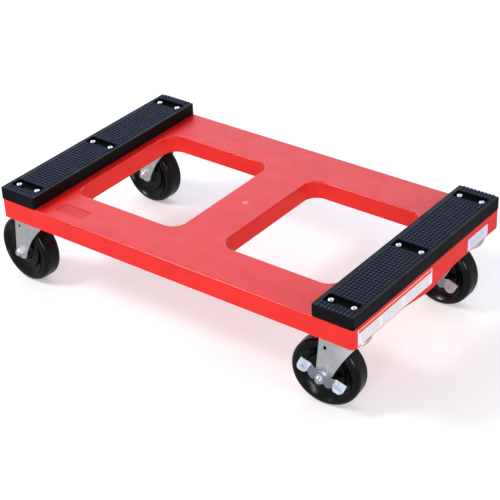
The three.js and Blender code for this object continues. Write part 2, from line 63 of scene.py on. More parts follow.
ON_AXIS = 1e-6
FACE_WEIGHT = 60
LOG = logging.getLogger("dolly")

Point = tuple[float, float]
Loop = list[Point]


# ---------------------------------------------------------------- outlines and profiles
def arc(centre: Point, radius: float, start: float, end: float, steps: int) -> Loop:
    """Points along a circular arc.

    Args:
        centre: Centre of the arc.
        radius: Radius of the arc.
        start: Angle of the first point, in degrees.
        end: Angle of the last point, in degrees.
        steps: Number of chords.

    Returns:
        The steps + 1 points, both ends included.
    """
    angles = [math.radians(start + (end - start) * k / steps) for k in range(steps + 1)]
    return [(centre[0] + radius * math.cos(a), centre[1] + radius * math.sin(a)) for a in angles]


def rounded_rectangle(
    size: Point, radius: float, centre: Point = (0.0, 0.0), steps: int = 6
) -> Loop:
    """A rectangle with round corners, anticlockwise.

    Args:
        size: Length along x and width along y.
        radius: Corner radius.
        centre: Middle of the rectangle.
        steps: Chords in each corner.

    Returns:
        The closed outline, its first point not repeated.
    """
    dx, dy = size[0] / 2 - radius, size[1] / 2 - radius
    corners = ((dx, dy, 0), (-dx, dy, 90), (-dx, -dy, 180), (dx, -dy, 270))
    return [
        point
        for x, y, start in corners
        for point in arc((centre[0] + x, centre[1] + y), radius, start, start + 90, steps)
    ]


def circle(radius: float, steps: int, centre: Point = (0.0, 0.0)) -> Loop:
    """A full circle of the given number of chords, its first point not repeated."""
    return arc(centre, radius, 0, 360, steps)[:-1]


def filleted(corners: Sequence[tuple[float, float, float]], steps: int = 4) -> Loop:
    """A path of straight lines whose inner corners are rounded, each by its own radius.

    Args:
        corners: (x, y, radius) of each corner; a radius of 0 keeps the corner sharp.
        steps: Chords in each rounded corner.

    Returns:
        The points of the rounded path, from the first corner to the last.
    """
    path: Loop = []
    last = len(corners) - 1
    for k, (x, y, radius) in enumerate(corners):
        here = Vector((x, y))
        if radius <= 0 or k in (0, last):
            path.append((x, y))
            continue
        back = (Vector(corners[k - 1][:2]) - here).normalized()
        ahead = (Vector(corners[k + 1][:2]) - here).normalized()
        half = back.angle(ahead) / 2
        reach = radius / math.tan(half)
        centre = here + (back + ahead).normalized() * (radius / math.sin(half))
        first, final = here + back * reach - centre, here + ahead * reach - centre
        for j in range(steps + 1):
            spoke = first.slerp(final, j / steps)
            path.append((centre.x + spoke.x, centre.y + spoke.y))
    return path


def spline(points: Sequence[Point], steps: int = 4) -> Loop:
    """A smooth open curve through the points.

    Args:
        points: Points that the curve goes through.
        steps: Chords between neighbouring points.

    Returns:
        The points of the curve, both ends included.
    """
    ends = [points[0], *points, points[-1]]
    path: Loop = []
    for p0, p1, p2, p3 in zip(ends, ends[1:], ends[2:], ends[3:]):
        for j in range(steps):
            t = j / steps
            weights = (
                -0.5 * t**3 + t**2 - 0.5 * t,
                1.5 * t**3 - 2.5 * t**2 + 1,
                -1.5 * t**3 + 2 * t**2 + 0.5 * t,
                0.5 * t**3 - 0.5 * t**2,
            )
            near = (p0, p1, p2, p3)
            path.append(tuple(sum(w * p[i] for w, p in zip(weights, near)) for i in (0, 1)))
    return [*path, tuple(points[-1])]


def smoothstep(value: float, low: float, high: float) -> float:
    """0 below low, 1 above high and a smooth rise between them."""
    t = min(max((value - low) / (high - low), 0.0), 1.0)
    return t * t * (3 - 2 * t)


# ---------------------------------------------------------------- solids
def taken_mesh(thing: bpy.types.Object) -> bpy.types.Mesh:
    """Evaluates an object that isn't in the scene yet, and removes it.

    Args:
        thing: The object, with the modifiers to apply.

    Returns:
        A new mesh of the evaluated shape.
    """
    bpy.context.scene.collection.objects.link(thing)
    graph = bpy.context.evaluated_depsgraph_get()
    mesh = bpy.data.meshes.new_from_object(thing.evaluated_get(graph))
    bpy.data.objects.remove(thing)
    return mesh


class Join(Enum):
    """How two solids are combined."""

    UNION = "UNION"
    CUT = "DIFFERENCE"
    COMMON = "INTERSECT"


class Solid:
    """A closed mesh in millimetres, shaped step by step before it becomes a piece."""

    def __init__(self, mesh: bpy.types.Mesh) -> None:
        """Takes over the mesh."""
        self.mesh = mesh

    @classmethod
    def slab(
        cls,
        outline: Loop,
        low: float,
        high: float,
        holes: Sequence[Loop] = (),
        edge: float = 0.0,
        edge_steps: int = 3,
    ) -> "Solid":
        """An outline in the XY plane, thickened from low to high, with rounded rims.

        Args:
            outline: The outer outline.
            low: Height of the lower face.
            high: Height of the upper face.
            holes: Outlines of through holes.
            edge: Radius of the rounding of every rim.
            edge_steps: Chords in that rounding.

        Returns:
            The solid.
        """
        curve = bpy.data.curves.new("slab", "CURVE")
        curve.dimensions = "2D"
        curve.fill_mode = "BOTH"
        curve.extrude = (high - low) / 2 - edge
        curve.bevel_depth = edge
        curve.bevel_resolution = edge_steps - 1
        curve.offset = -edge
        for loop in (outline, *holes):
            line = curve.splines.new("POLY")
            line.points.add(len(loop) - 1)
            for point, (x, y) in zip(line.points, loop):
                point.co = (x, y, 0, 1)
            line.use_cyclic_u = True
        mesh = taken_mesh(bpy.data.objects.new("slab", curve))
        return cls(mesh).welded().moved(Matrix.Translation((0, 0, (low + high) / 2)))

    @classmethod
    def turned(cls, profile: Loop, segments: int = 48) -> "Solid":
        """A profile turned about Z.

        Args:
            profile: (radius, height) points that start and end on the axis, or close.
            segments: Number of steps round the axis.

        Returns:
            The solid.
        """
        work = bmesh.new()
        angles = [2 * math.pi * k / segments for k in range(segments)]
        rings = []
        for radius, height in profile:
            spokes = angles if radius > ON_AXIS else angles[:1]
            rings.append(
                [work.verts.new((radius * math.cos(a), radius * math.sin(a), height)) for a in spokes]
            )
        pairs = list(zip(rings, rings[1:]))
        if profile[0][0] > ON_AXIS:
            pairs.append((rings[-1], rings[0]))
        for one, two in pairs:
            for k in range(segments):
                ring = [one[k % len(one)], one[(k + 1) % len(one)]]
                ring += [two[(k + 1) % len(two)], two[k % len(two)]]
                # A point on the axis comes twice.
                corners = list(dict.fromkeys(ring))
                if len(corners) > 2:
                    work.faces.new(corners)
        bmesh.ops.recalc_face_normals(work, faces=work.faces)
        return cls.kept(work)

    @classmethod
    def bar(cls, section: Loop, start: Vector, end: Vector) -> "Solid":
        """A section swept along a level straight line.

        Args:
            section: Outline of (across, up) points.
            start: Where the line starts.
            end: Where the line ends.

        Returns:
            The solid.
        """
        along = (end - start).normalized()
        up = Vector((0, 0, 1))
        turn = Matrix((up.cross(along), up, along)).transposed().to_4x4()
        blank = cls.slab(section, 0.0, (end - start).length)
        return blank.moved(Matrix.Translation(start) @ turn)

    @classmethod
    def hexagon(cls, across: float, low: float, high: float, chamfer: float = 1.0) -> "Solid":
        """A hexagonal head or nut about Z, its corners turned down on both faces.

        Args:
            across: Width over the flats.
            low: Height of the lower face.
            high: Height of the upper face.
            chamfer: Height of the turned-down corners.

        Returns:
            The solid.
        """
        reach = across / math.sqrt(3)
        body = cls.slab(circle(reach, 6), low, high)
        cone = [(0, low), (across / 2, low), (reach, low + chamfer)]
        cone += [(reach, high - chamfer), (across / 2, high), (0, high)]
        return body.combined(Join.COMMON, [cls.turned(cone)])

    @classmethod
    def kept(cls, work: bmesh.types.BMesh) -> "Solid":
        """The solid of a finished bmesh.

        Args:
            work: The bmesh, which is freed.

        Returns:
            The solid.
        """
        mesh = bpy.data.meshes.new("solid")
        work.to_mesh(mesh)
        work.free()
        return cls(mesh)

    def welded(self) -> "Solid":
        """Merges vertices that coincide and turns all faces outwards.

        Returns:
            The new solid.
        """
        distance = 0.002
        work = bmesh.new()
        work.from_mesh(self.mesh)
        bmesh.ops.remove_doubles(work, verts=work.verts, dist=distance)
        bmesh.ops.dissolve_degenerate(work, edges=work.edges, dist=distance / 2)
        bmesh.ops.recalc_face_normals(work, faces=work.faces)
        return Solid.kept(work)

    def moved(self, matrix: Matrix) -> "Solid":
        """Moves or turns the solid by the matrix."""
        self.mesh.transform(matrix)
        return self

    def shifted(self, x: float = 0.0, y: float = 0.0, z: float = 0.0) -> "Solid":
        """A moved copy of the solid."""
        return Solid(self.mesh.copy()).moved(Matrix.Translation((x, y, z)))

    def combined(self, how: Join, others: Iterable["Solid"]) -> "Solid":
        """Joins the solid with others, cuts them out of it, or keeps what is common.

        Args:
            how: The way to combine.
            others: The solids to combine with, one after another.

        Returns:
            The new solid.
        """
        host = bpy.data.objects.new("host", self.mesh)
        helpers = []
        for other in others:
            helper = bpy.data.objects.new("helper", other.mesh)
            bpy.context.scene.collection.objects.link(helper)
            helpers.append(helper)
            step = host.modifiers.new("step", "BOOLEAN")
            step.operation = how.value
            step.solver = "MANIFOLD"
            step.object = helper
        made = Solid(taken_mesh(host))
        for helper in helpers:
            bpy.data.objects.remove(helper)
        return made

    def joined(self, *others: "Solid") -> "Solid":
        """The solid together with the others."""
        return self.combined(Join.UNION, others)

    def cut(self, *tools: "Solid") -> "Solid":
        """The solid without the tools."""
        return self.combined(Join.CUT, tools)

    def beside(self, others: Iterable["Solid"], material: int = 0) -> "Solid":
        """Adds separate bodies that don't touch this solid.

        Args:
            others: The bodies to add.
            material: Index of the finish that the added bodies take.

        Returns:
            One solid that holds all the bodies.
        """
        work = bmesh.new()
        work.from_mesh(self.mesh)
        for other in others:
            before = len(work.faces)
            work.from_mesh(other.mesh)
            work.faces.ensure_lookup_table()
            for face in work.faces[before:]:
                face.material_index = material
        return Solid.kept(work)

    def sliced(self, axis: int, places: Iterable[float]) -> "Solid":
        """Adds edges across the solid where planes meet it, so that it can bend there.

        Args:
            axis: The planes' normal: 0, 1 or 2 for x, y or z.
            places: Where the planes stand along the axis.

        Returns:
            The same shape with more edges.
        """
        work = bmesh.new()
        work.from_mesh(self.mesh)
        normal = Vector([float(i == axis) for i in range(3)])
        for place in places:
            parts = [*work.verts, *work.edges, *work.faces]
            bmesh.ops.bisect_plane(work, geom=parts, plane_co=normal * place, plane_no=normal)
        return Solid.kept(work)

    def bent(self, rule: Callable[[Vector], Vector]) -> "Solid":
        """Moves each vertex to where the rule puts it.

        Args:
            rule: The new place of a point.

        Returns:
            This solid.
        """
        for vertex in self.mesh.vertices:
            vertex.co = rule(vertex.co.copy())
        return self

    def painted(self, material: int, chosen: Callable[[Vector], bool]) -> "Solid":
        """Gives some faces another of the piece's finishes.

        Args:
            material: Index of that finish.
            chosen: Says by its middle whether a face takes it.

        Returns:
            This solid.
        """
        for face in self.mesh.polygons:
            if chosen(face.center):
                face.material_index = material
        return self

    def eased(self, radius: float, chosen: Callable[[Vector, Vector], bool]) -> "Solid":
        """Rounds the sharp edges that are chosen.

        Args:
            radius: Radius of the rounding.
            chosen: Says by its two ends whether an edge is rounded.

        Returns:
            The new solid.
        """
        sharp = math.radians(50)
        work = bmesh.new()
        work.from_mesh(self.mesh)
        edges = [
            edge
            for edge in work.edges
            if edge.is_manifold
            and edge.calc_face_angle() > sharp
            and chosen(edge.verts[0].co, edge.verts[1].co)
        ]
        shape = {"segments": 2, "profile": 0.5, "affect": "EDGES", "clamp_overlap": True}
        bmesh.ops.bevel(work, geom=edges, offset=radius, **shape)
        return Solid.kept(work)

    def finished(self, crease: float = 33.0) -> bpy.types.Mesh:
        """The mesh in metres, shaded smooth up to the crease angle.

        Args:
            crease: Edges sharper than this many degrees stay sharp.

        Returns:
            The mesh that pieces share.
        """
        self.mesh.transform(Matrix.Scale(MM, 4))
        self.mesh.polygons.foreach_set("use_smooth", [True] * len(self.mesh.polygons))
        self.mesh.set_sharp_from_angle(angle=math.radians(crease))
        host = bpy.data.objects.new("host", self.mesh)
        weighting = host.modifiers.new("weighting", "WEIGHTED_NORMAL")
        weighting.keep_sharp = True
        weighting.weight = FACE_WEIGHT
        return taken_mesh(host)


# ---------------------------------------------------------------- finishes
@dataclass(frozen=True)
class RibPlan:
    """Where the ribs run under the rails and the web, from the middle of the deck."""

    rails: tuple[float, ...] = (161.0, 190.0)
    cross_pitch: float = 98.0
    rail_inner: float = 139.0
    web_x: float = 30.0
    web_y: float = 70.0


RIBS = RibPlan()
# Nearly all of a noise texture's values lie in this range.
NOISE_RANGE = {"From Min": 0.3, "From Max": 0.7}


def linear(colour: str) -> tuple[float, ...]:
    """The linear value of an sRGB colour such as "E2302C", with an alpha of 1."""
    parts = [int(colour[k : k + 2], 16) / 255 for k in (0, 2, 4)]
    return (*[p / 12.92 if p <= 0.04045 else ((p + 0.055) / 1.055) ** 2.4 for p in parts], 1.0)


def per_metre(millimetres: float) -> float:
    """The texture scale whose features are that many millimetres across."""
    return 1.0 / (millimetres * MM)


def plug(node: bpy.types.Node, inputs: dict[Any, Any]) -> None:
    """Links sockets and sets plain values on a node.

    Args:
        node: The node.
        inputs: A socket to link or a plain value for each named or numbered input.
    """
    for key, value in inputs.items():
        if isinstance(value, bpy.types.NodeSocket):
            node.id_data.links.new(value, node.inputs[key])
        else:
            node.inputs[key].default_value = value


def add_node(
    tree: bpy.types.NodeTree, kind: str, inputs: dict[Any, Any], **settings: Any
) -> bpy.types.Node:
    """Adds a node, sets it up and links it.

    Args:
        tree: The node tree.
        kind: The node's type name without its "ShaderNode" prefix.
        inputs: A socket to link or a plain value for each named or numbered input.
        settings: Properties of the node itself.

    Returns:
        The new node.
    """
    node = tree.nodes.new(f"ShaderNode{kind}")
    for key, value in settings.items():
        setattr(node, key, value)
    plug(node, inputs)
    return node


@functools.cache
def material_of(finish: "Finish") -> bpy.types.Material:
    """The material of a finish, made once.

    Args:
        finish: The finish.

    Returns:
        Its material.
    """
    material = bpy.data.materials.new(finish.name)
    material.use_nodes = True
    tree = material.node_tree
    tree.nodes.clear()
    shader = add_node(tree, "BsdfPrincipled", {})
    add_node(tree, "OutputMaterial", {"Surface": shader.outputs[0]})
    place = add_node(tree, "TexCoord", {}).outputs["Object"]
    plug(shader, finish.inputs(tree, place))
    return material


@dataclass(frozen=True)
class Finish:
    """What every finish has: its name and the record's material slot."""

    name: str
    slot: str

    def inputs(self, tree: bpy.types.NodeTree, place: bpy.types.NodeSocket) -> dict[str, Any]:
        """What the shader's inputs take.

        Args:
            tree: The material's node tree.
            place: The piece's own coordinates, in metres.

        Returns:
            A socket or a plain value for each input.
        """
        raise NotImplementedError


@dataclass(frozen=True)
class MouldedPolyethylene(Finish):
    """High-density polyethylene, injection moulded: an even red with a waxy satin gloss.

    The eye reads it by its broad pale reflection, by faint flow streaks along the deck and by the
    sink lines that the ribs underneath leave in the top face. The mould's grain is drawn coarser
    than it is, so that it shows.
    """

    colour: str = "EC2116"
    deep_colour: str = "DC1712"
    gloss_level: float = 0.36
    roughness: float = 0.31
    roughness_spread: float = 0.11
    streak: float = 26.0
    streak_stretch: float = 0.22
    streak_tint: float = 0.55
    mottle: float = 22.0
    grain: float = 1.6
    grain_height: float = 0.1
    sink_width: float = 4.5
    sink_tint: float = 0.22
    sink_gloss: float = -0.05
    sink_relief: float = -0.9

    def inputs(self, tree: bpy.types.NodeTree, place: bpy.types.NodeSocket) -> dict[str, Any]:
        """What the shader's inputs take.

        Args:
            tree: The material's node tree.
            place: The piece's own coordinates, in metres.

        Returns:
            A socket or a plain value for each input.
        """
        add = functools.partial(add_node, tree)
        stretch = (self.streak_stretch, 1.0, 1.0)
        flow = add("VectorMath", {0: place, 1: stretch}, operation="MULTIPLY").outputs[0]
        streaks = add("TexNoise", {"Vector": flow, "Scale": per_metre(self.streak), "Detail": 3.0})
        mottle = add("TexNoise", {"Vector": place, "Scale": per_metre(self.mottle), "Detail": 2.0})
        grain = add("TexNoise", {"Vector": place, "Scale": per_metre(self.grain), "Detail": 1.0})
        sinks = self.sink_lines(tree, place)
        tint_range = {"From Min": 0.35, "From Max": 0.68, "To Min": 0.0, "To Max": self.streak_tint}
        tint = add("MapRange", {"Value": streaks.outputs[0], **tint_range}).outputs[0]
        tint = add("Math", {0: sinks, 1: self.sink_tint, 2: tint}, operation="MULTIPLY_ADD").outputs[0]
        shades = {6: linear(self.colour), 7: linear(self.deep_colour)}
        # Sockets 6 and 7 of a Mix node are its two colours, and output 2 is the mixed colour.
        colour = add("Mix", {0: tint, **shades}, data_type="RGBA").outputs[2]
        gloss_range = {"To Min": self.roughness, "To Max": self.roughness + self.roughness_spread}
        gloss = add("MapRange", {"Value": mottle.outputs[0], **NOISE_RANGE, **gloss_range}).outputs[0]
        shine = {0: sinks, 1: self.sink_gloss, 2: gloss}
        gloss = add("Math", shine, operation="MULTIPLY_ADD").outputs[0]
        relief = {0: sinks, 1: self.sink_relief, 2: grain.outputs[0]}
        height = add("Math", relief, operation="MULTIPLY_ADD").outputs[0]
        bump = add("Bump", {"Height": height, "Strength": 0.4, "Distance": self.grain_height * MM})
        return {
            "Base Color": colour,
            "Roughness": gloss,
            "Normal": bump.outputs[0],
            "Specular IOR Level": self.gloss_level,
        }

    def sink_lines(self, tree: bpy.types.NodeTree, place: bpy.types.NodeSocket) -> bpy.types.NodeSocket:
        """A mask that is 1 along the lines which the ribs leave in the top face.

        Args:
            tree: The material's node tree.
            place: The piece's own coordinates, in metres.

        Returns:
            The mask's socket.
        """

        def maths(operation: str, *values: Any) -> bpy.types.NodeSocket:
            """The result of one step of arithmetic."""
            return add_node(tree, "Math", dict(enumerate(values)), operation=operation).outputs[0]

        def line(source: bpy.types.NodeSocket, at: float) -> bpy.types.NodeSocket:
            """A soft-edged mask round one value.

            Args:
                source: The value to look at, in metres.
                at: Where the mask is 1, in millimetres.

            Returns:
                The mask's socket.
            """
            away = maths("ABSOLUTE", maths("SUBTRACT", source, at * MM))
            fade = {"Value": away, "From Min": 0.0, "From Max": self.sink_width * MM}
            fade |= {"To Min": 1.0, "To Max": 0.0}
            return add_node(tree, "MapRange", fade, interpolation_type="SMOOTHSTEP").outputs[0]

        axes = add_node(tree, "SeparateXYZ", {0: place})
        low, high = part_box("deck")
        along = maths("ABSOLUTE", maths("SUBTRACT", axes.outputs[0], (low.x + high.x) / 2))
        across = maths("ABSOLUTE", axes.outputs[1])
        on_rail = maths("GREATER_THAN", across, RIBS.rail_inner * MM)
        # What is left over a whole number of pitches is 0 or one pitch on every cross rib.
        rest = maths("MODULO", along, RIBS.cross_pitch * MM)
        crossing = maths("MAXIMUM", line(rest, 0.0), line(rest, RIBS.cross_pitch))
        rails = maths("MAXIMUM", *[line(across, y) for y in RIBS.rails])
        rails = maths("MULTIPLY", maths("MAXIMUM", rails, crossing), on_rail)
        web = maths("MAXIMUM", line(across, RIBS.web_y), line(across, 0.0))
        web = maths("MAXIMUM", web, line(along, RIBS.web_x))
        web = maths("MULTIPLY", web, maths("SUBTRACT", 1.0, on_rail))
        on_top = maths("GREATER_THAN", axes.outputs[2], high.z - 0.3 * MM)
        return maths("MULTIPLY", maths("MAXIMUM", rails, web), on_top)


@dataclass(frozen=True)
class MouldedRubber(Finish):
    """Black rubber, compression moulded: dull, with a painted cool sheen on its raised bars.

    The painted sheen is a reflection of the sky put into the colour. It pales the tops of the raised
    bars, more in some patches than in others, so that the grid stands out from its gaps. The
    moulded grain is drawn coarser than it is, so that it shows.
    """

    colour: str = "07080A"
    painted_sheen: str = "243254"
    sheen_low: float = 213.8
    sheen_high: float = 214.9
    least_sheen: float = 0.45
    patch: float = 30.0
    grain: float = 0.8
    grain_height: float = 0.1
    gloss_level: float = 0.16

    def inputs(self, tree: bpy.types.NodeTree, place: bpy.types.NodeSocket) -> dict[str, Any]:
        """What the shader's inputs take.

        Args:
            tree: The material's node tree.
            place: The piece's own coordinates, in metres.

        Returns:
            A socket or a plain value for each input.
        """
        add = functools.partial(add_node, tree)
        height = add("SeparateXYZ", {0: place}).outputs[2]
        patches = add("TexNoise", {"Vector": place, "Scale": per_metre(self.patch), "Detail": 4.0})
        patches = {"Value": patches.outputs[0], **NOISE_RANGE}
        grain = add("TexNoise", {"Vector": place, "Scale": per_metre(self.grain), "Detail": 2.0})
        # Painted sheen: the tops of the raised bars are mixed towards a pale cool colour that stands in
        # for the sky's reflection, and random patches make it stronger or weaker.
        rise = {"From Min": self.sheen_low * MM, "From Max": self.sheen_high * MM}
        raised = add("MapRange", {"Value": height, **rise, "To Min": 0.0, "To Max": 1.0}).outputs[0]
        sheen_strength = add("MapRange", {**patches, "To Min": self.least_sheen, "To Max": 1.0}).outputs[0]
        painted_sheen = add("Math", {0: raised, 1: sheen_strength}, operation="MULTIPLY").outputs[0]
        shades = {6: linear(self.colour), 7: linear(self.painted_sheen)}
        colour = add("Mix", {0: painted_sheen, **shades}, data_type="RGBA").outputs[2]
        gloss = add("MapRange", {**patches, "To Min": 0.42, "To Max": 0.58}).outputs[0]
        relief = {"Height": grain.outputs[0], "Strength": 0.3, "Distance": self.grain_height * MM}
        return {
            "Base Color": colour,
            "Roughness": gloss,
            "Normal": add("Bump", relief).outputs[0],
            "Specular IOR Level": self.gloss_level,
        }


@dataclass(frozen=True)
class PlatedSteel(Finish):
    """Pressed or turned steel under clear zinc: a soft silver with a faint cloudy spangle.

    The clouds shift its gloss and its tint a little from place to place. The rolling marks break
    up the reflections; they are drawn coarser than they are, so that they show.
    """

    colour: str = "F8F8F4"
    cloud_colour: str = "E4E6E8"
    roughness: float = 0.4
    cloud: float = 9.0
    mark: float = 0.7
    mark_stretch: float = 0.08
    mark_depth: float = 0.05

    def inputs(self, tree: bpy.types.NodeTree, place: bpy.types.NodeSocket) -> dict[str, Any]:
        """What the shader's inputs take.

        Args:
            tree: The material's node tree.
            place: The piece's own coordinates, in metres.

        Returns:
            A socket or a plain value for each input.
        """
        add = functools.partial(add_node, tree)
        clouds = add("TexNoise", {"Vector": place, "Scale": per_metre(self.cloud), "Detail": 4.0})
        clouds = clouds.outputs[0]
        spread = {"From Min": 0.35, "From Max": 0.65, "To Min": 0.0, "To Max": 1.0}
        tint = add("MapRange", {"Value": clouds, **spread}).outputs[0]
        shades = {6: linear(self.colour), 7: linear(self.cloud_colour)}
        colour = add("Mix", {0: tint, **shades}, data_type="RGBA").outputs[2]
        gloss_range = {"To Min": self.roughness - 0.06, "To Max": self.roughness + 0.08}
        gloss = add("MapRange", {"Value": clouds, **NOISE_RANGE, **gloss_range}).outputs[0]
        stretch = (1.0, 1.0, self.mark_stretch)
        rolled = add("VectorMath", {0: place, 1: stretch}, operation="MULTIPLY").outputs[0]
        marks = add("TexNoise", {"Vector": rolled, "Scale": per_metre(self.mark), "Detail": 2.0})
        relief = {"Height": marks.outputs[0], "Strength": 0.12, "Distance": self.mark_depth * MM}
        return {
            "Base Color": colour,
            "Roughness": gloss,
            "Normal": add("Bump", relief).outputs[0],
            "Metallic": 1.0,
        }


@dataclass(frozen=True)
class PolishedHardRubber(Finish):
    """Hard black rubber, pressed in a polished mould: near-black with clear soft-edged highlights.

    A fine haze and a shallow grain keep the gloss from looking wet. The grain is drawn coarser
    than it is, so that it shows.
    """

    colour: str = "030304"
    haze: float = 14.0
    grain: float = 1.1
    grain_height: float = 0.05
    gloss_level: float = 0.3

    def inputs(self, tree: bpy.types.NodeTree, place: bpy.types.NodeSocket) -> dict[str, Any]:
        """What the shader's inputs take.

        Args:
            tree: The material's node tree.
            place: The piece's own coordinates, in metres.

        Returns:
            A socket or a plain value for each input.
        """
        haze_size = {"Scale": per_metre(self.haze), "Detail": 3.0}
        haze = add_node(tree, "TexNoise", {"Vector": place, **haze_size}).outputs[0]
        gloss_range = {"To Min": 0.18, "To Max": 0.26}
        gloss = add_node(tree, "MapRange", {"Value": haze, **NOISE_RANGE, **gloss_range})
        grain_size = {"Scale": per_metre(self.grain), "Detail": 1.0}
        grain = add_node(tree, "TexNoise", {"Vector": place, **grain_size}).outputs[0]
        relief = {"Height": grain, "Strength": 0.08, "Distance": self.grain_height * MM}
        return {
            "Base Color": linear(self.colour),
            "Roughness": gloss.outputs[0],
            "Normal": add_node(tree, "Bump", relief).outputs[0],
            "Specular IOR Level": self.gloss_level,
        }


@dataclass(frozen=True)
class CoatedVinyl(Finish):
    """Calendered vinyl film, printed and clear coated: flat colour under a low even gloss."""

    colour: str = "F0F0F4"
    fibre: float = 1.2

    def inputs(self, tree: bpy.types.NodeTree, place: bpy.types.NodeSocket) -> dict[str, Any]:
        """What the shader's inputs take.

        Args:
            tree: The material's node tree.
            place: The piece's own coordinates, in metres.

        Returns:
            A socket or a plain value for each input.
        """
        fibre_size = {"Scale": per_metre(self.fibre), "Detail": 1.0}
        fibre = add_node(tree, "TexNoise", {"Vector": place, **fibre_size}).outputs[0]
        gloss_range = {"To Min": 0.38, "To Max": 0.5}
        gloss = add_node(tree, "MapRange", {"Value": fibre, **NOISE_RANGE, **gloss_range})
        return {"Base Color": linear(self.colour), "Roughness": gloss.outputs[0]}


@dataclass(frozen=True)
class SeamlessPaper(Finish):
    """Pale studio paper, lit a little from below: matt, so that it only takes soft shadows."""

    colour: str = "F4F4F3"
    glow: float = 0.35

    def inputs(self, tree: bpy.types.NodeTree, place: bpy.types.NodeSocket) -> dict[str, Any]:
        """What the shader's inputs take.

        Args:
            tree: The material's node tree; the paper is plain and adds nothing to it.
            place: The piece's own coordinates, in metres, which it doesn't need.

        Returns:
            A plain value for each input.
        """
        return {
            "Base Color": linear(self.colour),
            "Roughness": 0.9,
            "Specular IOR Level": 0.2,
            "Emission Color": linear(self.colour),
            "Emission Strength": self.glow,
        }


RED_DECK = MouldedPolyethylene("moulded_polyethylene", "red_polyethylene")
# The recessed panel comes from a sanded part of the mould, which leaves it duller and deeper.
RED_PANEL = MouldedPolyethylene(
    "moulded_polyethylene_sanded", "red_polyethylene", "E4201A", "D61A15", 0.2, grain=0.8
)
# Hands and loads rub the rims of the top face to a sharper gloss.
RED_RIM = MouldedPolyethylene(
    "moulded_polyethylene_rubbed", "red_polyethylene", gloss_level=0.62, roughness=0.16
)
# The plastic whitens where the sprue was twisted off the gate.
GATE_SCAR = MouldedPolyethylene(
    "stress_whitened_polyethylene", "red_polyethylene", colour="F8C4C2", deep_colour="F2A9A6"
)
BLACK_PAD = MouldedRubber("moulded_rubber", "black_rubber")
ZINC_STEEL = PlatedSteel("zinc_plated_pressed_steel", "zinc_steel")
# Small pressings are plated loose in a barrel, which leaves them greyer.
BARREL_STEEL = PlatedSteel(
    "barrel_zinc_plated_steel", "zinc_steel", "B8BCC2", "A6ACB6", roughness=0.42
)
BRIGHT_STEEL = PlatedSteel(
    "bright_plated_fastener_steel", "bright_fasteners", "EDF0F4", "E0E4EA", roughness=0.3
)
GROUND_STEEL = PlatedSteel(
    "ground_bearing_steel", "bearing_steel", "A9AAA9", "96979A", roughness=0.24
)
BLACK_WHEEL = PolishedHardRubber("polished_hard_rubber", "black_wheel")
WHITE_VINYL = CoatedVinyl("white_vinyl", "label_paper")
LILAC_VINYL = CoatedVinyl("lilac_white_vinyl", "label_paper", colour="DEDDF0")
ORANGE_INK = CoatedVinyl("orange_ink_on_vinyl", "label_paper", colour="F0541E")
GREY_INK = CoatedVinyl("grey_ink_on_vinyl", "label_paper", colour="A9A8B4")


# ---------------------------------------------------------------- placing pieces
def dress_mesh(mesh: bpy.types.Mesh, finishes: Sequence[Finish]) -> None:
    """Gives a mesh its finishes.

    Args:
        mesh: The mesh; it may have empty slots left from its making.
        finishes: The finish of each of its material indices.
    """
    indices = [face.material_index for face in mesh.polygons]
    mesh.materials.clear()
    for finish in finishes:
        mesh.materials.append(material_of(finish))
    mesh.polygons.foreach_set("material_index", indices)


def place_piece(
    name: str,
    mesh: bpy.types.Mesh,
    finishes: Sequence[Finish],
    body: str,
    at: Matrix | None = None,
    stands_for: str | None = None,
) -> bpy.types.Object:
    """Puts a finished mesh into the scene and ties it to the frame.

    Args:
        name: The piece's name.
        mesh: The mesh, in metres, shared by repeated pieces.
        finishes: The finish of each of the mesh's material indices.
        body: The body that the piece rides on.
        at: Where the mesh's own frame stands in the row frame.
        stands_for: The frame's node that the piece takes the place of, if there is one.

    Returns:
        The new object.
    """
    if not any(mesh.materials):
        dress_mesh(mesh, finishes)
    piece = bpy.data.objects.new(name, mesh)
    bpy.context.scene.collection.objects.link(piece)
    piece.matrix_world = at or Matrix.Identity(4)
    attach(piece, body)
    if stands_for:
        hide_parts(stands_for)
    LOG.info("%s: %d faces on %s", name, len(mesh.polygons), body)
    return piece


def box_mm(node: str) -> tuple[Vector, Vector]:
    """The lowest and highest corner of a frame node, in millimetres."""
    low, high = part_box(node)
    return low / MM, high / MM


